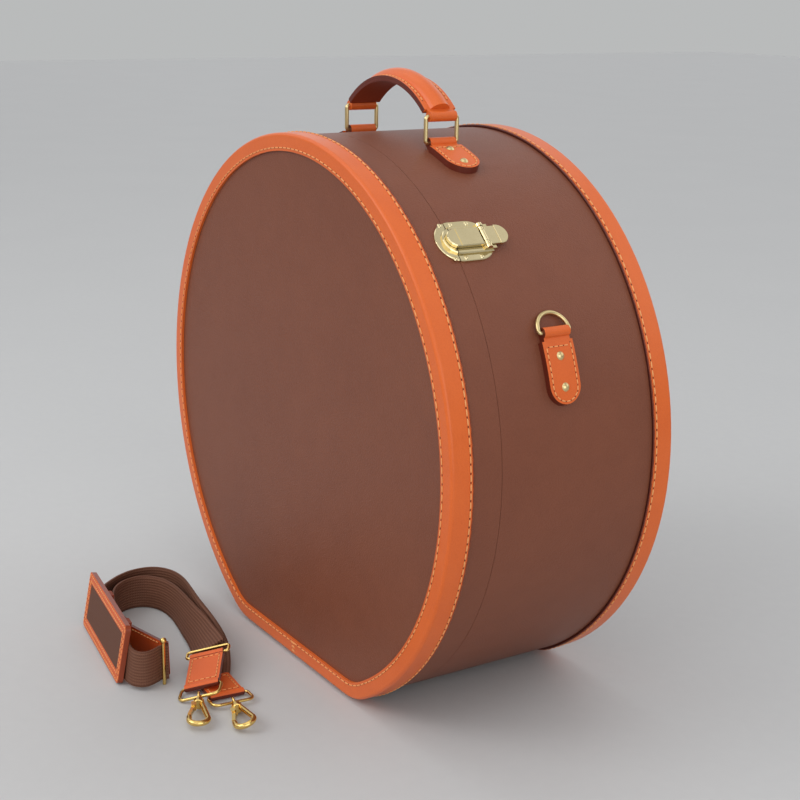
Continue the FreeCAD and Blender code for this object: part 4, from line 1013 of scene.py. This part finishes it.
@dataclass
class Strap:
    """The loose strap: two lengths of webbing, pad, link, tabs, rings and hooks."""

    frame: dict
    palette: Palette
    sewing: Sewing

    def build(self) -> None:
        """Makes the webbing, dresses the carried pieces and sews them."""
        nodes = self.frame["nodes"]
        # The pad keepers get the darker underside leather: painted shade behind the pad.
        for node, finish in (("strap_link", "link_leather"), ("strap_pad", "pad_leather"),
                             ("strap_pad_inset", "pad_webbing"), ("strap_pad_keepers", "under_leather_painted_shade"),
                             ("strap_tab_a", "strap_tab_leather"), ("strap_tab_b", "strap_tab_leather")):
            self.palette.dress(nodes[node], finish)
        metal = ["strap_slider", "strap_square_ring"]
        metal += [f"{part}_{k}" for part in ("strap_ring", "hook_eye", "snap_hook", "hook_gate")
                  for k in "ab"]
        for node in metal:
            self.palette.dress(nodes[node], "warm_gold")
        inner, inner_path = self.web("webbing_inner", WEB_INNER)
        outer, outer_path = self.web("webbing_outer", WEB_OUTER)
        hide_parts("strap_web_inner")
        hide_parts("strap_web_outer")
        self.sew_pad()
        self.sew_link()
        self.sew_tabs()

    def edges(self, route: Sequence[tuple[float, ...]]) -> tuple[list[Vector], list[Vector]]:
        """Works out the poles of a web's two edges.

        Args:
            route: The stops.

        Returns:
            Poles of the lower and of the upper edge, in metres.
        """
        lows, highs = [], []
        for i, (x, y, z, lean) in enumerate(route):
            before, after = route[max(i - 1, 0)], route[min(i + 1, len(route) - 1)]
            travel = Vector((after[0] - before[0], after[1] - before[1], 0)).normalized()
            side = Vector((-travel.y, travel.x, 0))
            angle = math.radians(lean)
            rise = Vector((0, 0, 1)) * math.cos(angle) + side * math.sin(angle)
            middle = Vector((x, y, z)) * MM
            lows.append(middle - rise * (WEB_WIDTH / 2))
            highs.append(middle + rise * (WEB_WIDTH / 2))
        return lows, highs

    def profile(self) -> list[tuple[float, float]]:
        """Draws the web's cross-section with rounded selvedges.

        Returns:
            Place across the web and height over its middle, in metres.
        """
        half, thick, across = WEB_WIDTH / 2, WEB_THICK / 2, 12
        rounding, flat = thick * 0.6, WEB_WIDTH - thick * 1.2
        front = [(-half + rounding + flat * i / across, thick) for i in range(across + 1)]
        back = [(half - rounding - flat * i / across, -thick) for i in range(across + 1)]
        return front + [(half, 0.0)] + back + [(-half, 0.0)]

    def web(self, name: str, route: Sequence[tuple[float, ...]]) -> tuple[bpy.types.Object, list[Vector]]:
        """Makes one length of webbing with a rounded selvedge and unrolled coordinates.

        Args:
            name: Its name.
            route: Its stops.

        Returns:
            The object and the points of its middle line.
        """
        lows, highs = self.edges(route)
        profile = self.profile()
        steps, glance, half = 14 * (len(route) - 1), 0.002, WEB_WIDTH / 2
        selvedge_width, selvedge_rise = 0.0022, 0.00012
        middles, points = [], []
        unrolled: list[tuple[float, float]] = []
        run = 0.0
        for step in range(steps + 1):
            at = step / steps
            low, high = spline(lows, at), spline(highs, at)
            middle = (low + high) / 2
            ahead, behind = min(at + glance, 1.0), max(at - glance, 0.0)
            travel = spline(lows, ahead) + spline(highs, ahead) - spline(lows, behind) - spline(highs, behind)
            rise = (high - low).normalized()
            out = travel.cross(rise).normalized()
            if middles:
                run += (middle - middles[-1]).length
            middles.append(middle)
            for w, t in profile:
                selvedge = selvedge_rise if abs(w) > half - selvedge_width else 0.0
                lift = t + math.copysign(selvedge, t) if t else 0.0
                points.append(middle + rise * w + out * lift)
                unrolled.append((run, w))
        size = len(profile)
        faces = []
        for i in range(steps):
            for j in range(size):
                k = (j + 1) % size
                faces.append((i * size + j, i * size + k, (i + 1) * size + k, (i + 1) * size + j))
        faces.append(tuple(reversed(range(size))))
        faces.append(tuple(steps * size + j for j in range(size)))
        obj = make_mesh(name, points, faces)
        layer = obj.data.uv_layers.new(name="unrolled")
        for corner in obj.data.loops:
            layer.data[corner.index].uv = unrolled[corner.vertex_index]
        self.palette.dress(obj, "webbing")
        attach(obj, "strap")
        LOG.info("%s: %.1f mm long", name, run / MM)
        return obj, middles

    def sew_pad(self) -> None:
        """Sews two rows round the pad."""
        out = Vector(StrapPad.out())
        for name, inset in (("outer", 0.0022), ("inner", 0.0064)):
            far, top = StrapPad.length - inset, StrapPad.height - inset
            corners = [(inset, inset), (far, inset), (far, top), (inset, top)]
            path = []
            for i, (x, z) in enumerate(corners):
                nx, nz = corners[(i + 1) % 4]
                path += [(StrapPad.spot(x + (nx - x) * j / 12, z + (nz - z) * j / 12), out)
                         for j in range(12)]
            self.sewing.row(f"pad_{name}_thread", "strap_pad", "strap", path, PAD_SEAM, Loop.CLOSED)

    def sew_link(self) -> None:
        """Sews the link leather along both edges."""
        start, end = Vector((-0.080, -0.2096, 0.0152)), Vector((-0.0146, -0.1984, 0.0184))
        first, length = 0.003, 0.056
        along = (end - start).normalized()
        rise = Vector((-0.04, 0.0, 1.0)).normalized()
        front = along.cross(rise).normalized()
        for name, height in (("upper", 0.0106), ("lower", -0.0106)):
            path = [(start + along * (first + length * i / 20) + rise * height, front) for i in range(21)]
            self.sewing.row(f"link_{name}_thread", "strap_link", "strap", path, PAD_SEAM)

    def sew_tabs(self) -> None:
        """Sews the two end tabs along their edges and across their ends."""
        half = 0.0110
        tabs = (("a", (-0.0085, -0.1662, 0.0158), (0.030, -0.0186, -0.0084), (0.655, 0.713, 0.25)),
                ("b", (0.0046, -0.169, 0.003), (0.0319, -0.0028, 0.0), (0.1, 1.0, 0.0)))
        for name, top, run, across in tabs:
            corner, travel = Vector(top), Vector(run)
            way = travel.cross(Vector(across)).normalized()
            side = way.cross(travel).normalized()
            rows = [(edge, [(corner + travel * (0.12 + 0.76 * i / 12) + side * offset, way)
                            for i in range(13)])
                    for edge, offset in (("near", -half), ("far", half))]
            rows += [(edge, [(corner + travel * share + side * (-half + 2 * half * i / 12), way)
                             for i in range(13)])
                     for edge, share in (("top", 0.12), ("bottom", 0.86))]
            for edge, path in rows:
                self.sewing.row(f"strap_tab_{name}_{edge}_thread", f"strap_tab_{name}", "strap", path,
                                STRAP_TAB_SEAM)


def spline(poles: Sequence[Vector], at: float) -> Vector:
    """Finds a point of a clamped quadratic B-spline.

    Args:
        poles: The spline's poles.
        at: From 0 at its start to 1 at its end.

    Returns:
        The point.
    """
    count = len(poles)
    last = count - 2
    knots = [0.0] * 2 + [float(k) for k in range(last + 1)] + [float(last)] * 2
    u = min(max(at * last, 0.0), last - 1e-9)
    k = int(u) + 2
    work = [poles[j + k - 2].copy() for j in range(3)]
    for r in (1, 2):
        for j in range(2, r - 1, -1):
            low = knots[j + k - 2]
            high = knots[j + 1 + k - r]
            share = (u - low) / (high - low)
            work[j] = work[j - 1].lerp(work[j], share)
    return work[2]


@dataclass(frozen=True)
class Lamp:
    """A square soft lamp, turned to the box."""

    name: str
    place: Point
    size: float
    power: float

    def hang(self) -> None:
        """Adds the lamp to the scene."""
        lamp = bpy.data.lights.new(self.name, "AREA")
        lamp.size = self.size
        lamp.energy = self.power
        holder = bpy.data.objects.new(self.name, lamp)
        bpy.context.scene.collection.objects.link(holder)
        holder.location = self.place
        holder.rotation_euler = (Vector(LAMP_AIM) - Vector(self.place)).to_track_quat("-Z", "Y").to_euler()


@dataclass
class Studio:
    """Floor, light and camera."""

    def build(self) -> None:
        """Sets up everything that isn't part of the box."""
        finish = Plain("floor_paint", Rgb(198, 198, 197), Rgb(190, 190, 190), 90.0, 0.0002, 0.62).make()
        signs = ((-1, -1), (1, -1), (1, 1), (-1, 1))
        corners = [Vector((x * FLOOR_HALF, y * FLOOR_HALF, 0)) for x, y in signs]
        floor = make_mesh("floor", corners, [(0, 1, 2, 3)], smooth=False)
        floor.data.materials.append(finish)
        self.sky()
        for lamp in (Lamp("window", (-0.5, -1.9, 1.6), 1.3, 15.0),
                     Lamp("ceiling", (0.5, -0.4, 2.2), 1.6, 4.5),
                     Lamp("fill", (2.1, -0.5, 0.8), 1.6, 9.0)):
            lamp.hang()
        bpy.context.scene.view_settings.view_transform = "Standard"
        self.camera()

    def sky(self) -> None:
        """Lights the room evenly, with soft patches. The sky's topmost stop stays white."""
        world = bpy.data.worlds.new("room")
        world.use_nodes = True
        sheet = NodeSheet(world.node_tree)
        where = sheet.add("ShaderNodeTexCoord").outputs["Generated"]
        ramp = sheet.add("ShaderNodeValToRGB", {0: sheet.split(where)["Z"]})
        stops = ramp.color_ramp.elements
        for at, level in SKY_STOPS:
            stop = stops.new(at) if at > 0.0 else stops[0]
            stop.color = (*(level * tint for tint in SKY_TINT), 1)
        patches = sheet.add("ShaderNodeTexNoise", {"Vector": where, "Scale": 1.7, "Detail": 1.0})
        spread = sheet.add("ShaderNodeMapRange", {"Value": patches.outputs[0], "From Min": 0.35,
                                                  "From Max": 0.65, "To Min": 0.45, "To Max": 1.55})
        lit = sheet.add("ShaderNodeVectorMath", {0: ramp.outputs[0], "Scale": spread.outputs[0]},
                        operation="SCALE").outputs[0]
        by_camera = sheet.add("ShaderNodeLightPath").outputs["Is Camera Ray"]
        background = world.node_tree.nodes["Background"]
        sheet.put(background.inputs["Color"], sheet.mix(by_camera, lit, SKY_SEEN))
        sheet.put(background.inputs["Strength"], SKY_STRENGTH)
        bpy.context.scene.world = world

    def camera(self) -> None:
        """Places the camera."""
        data = bpy.data.cameras.new("camera")
        data.sensor_width = 36.0
        data.lens = CAMERA_LENS
        holder = bpy.data.objects.new("camera", data)
        bpy.context.scene.collection.objects.link(holder)
        heading, drop, roll = math.radians(57.48), math.radians(15.50), 0.01565
        level = Vector((math.cos(heading), math.sin(heading), 0))
        forward = Vector((-math.sin(heading) * math.cos(drop), math.cos(heading) * math.cos(drop),
                          -math.sin(drop)))
        up = level.cross(forward)
        right = level * math.cos(roll) + up * math.sin(roll)
        top = up * math.cos(roll) - level * math.sin(roll)
        turn = Matrix((right, top, -forward)).transposed().to_4x4()
        holder.matrix_world = Matrix.Translation(CAMERA_PLACE) @ turn
        bpy.context.scene.camera = holder


def main() -> None:
    """Builds the looks around the frame."""
    logging.basicConfig(level=logging.INFO)
    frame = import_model()
    palette = Palette()
    palette.build()
    sewing = Sewing(frame, palette)
    for part in (Box(frame, palette, sewing), Tabs(frame, palette, sewing), Handle(frame, palette, sewing),
                 Fittings(frame, palette), Strap(frame, palette, sewing), Studio()):
        part.build()
        LOG.info("built %s", type(part).__name__.lower())


if __name__ == "__main__":
    main()
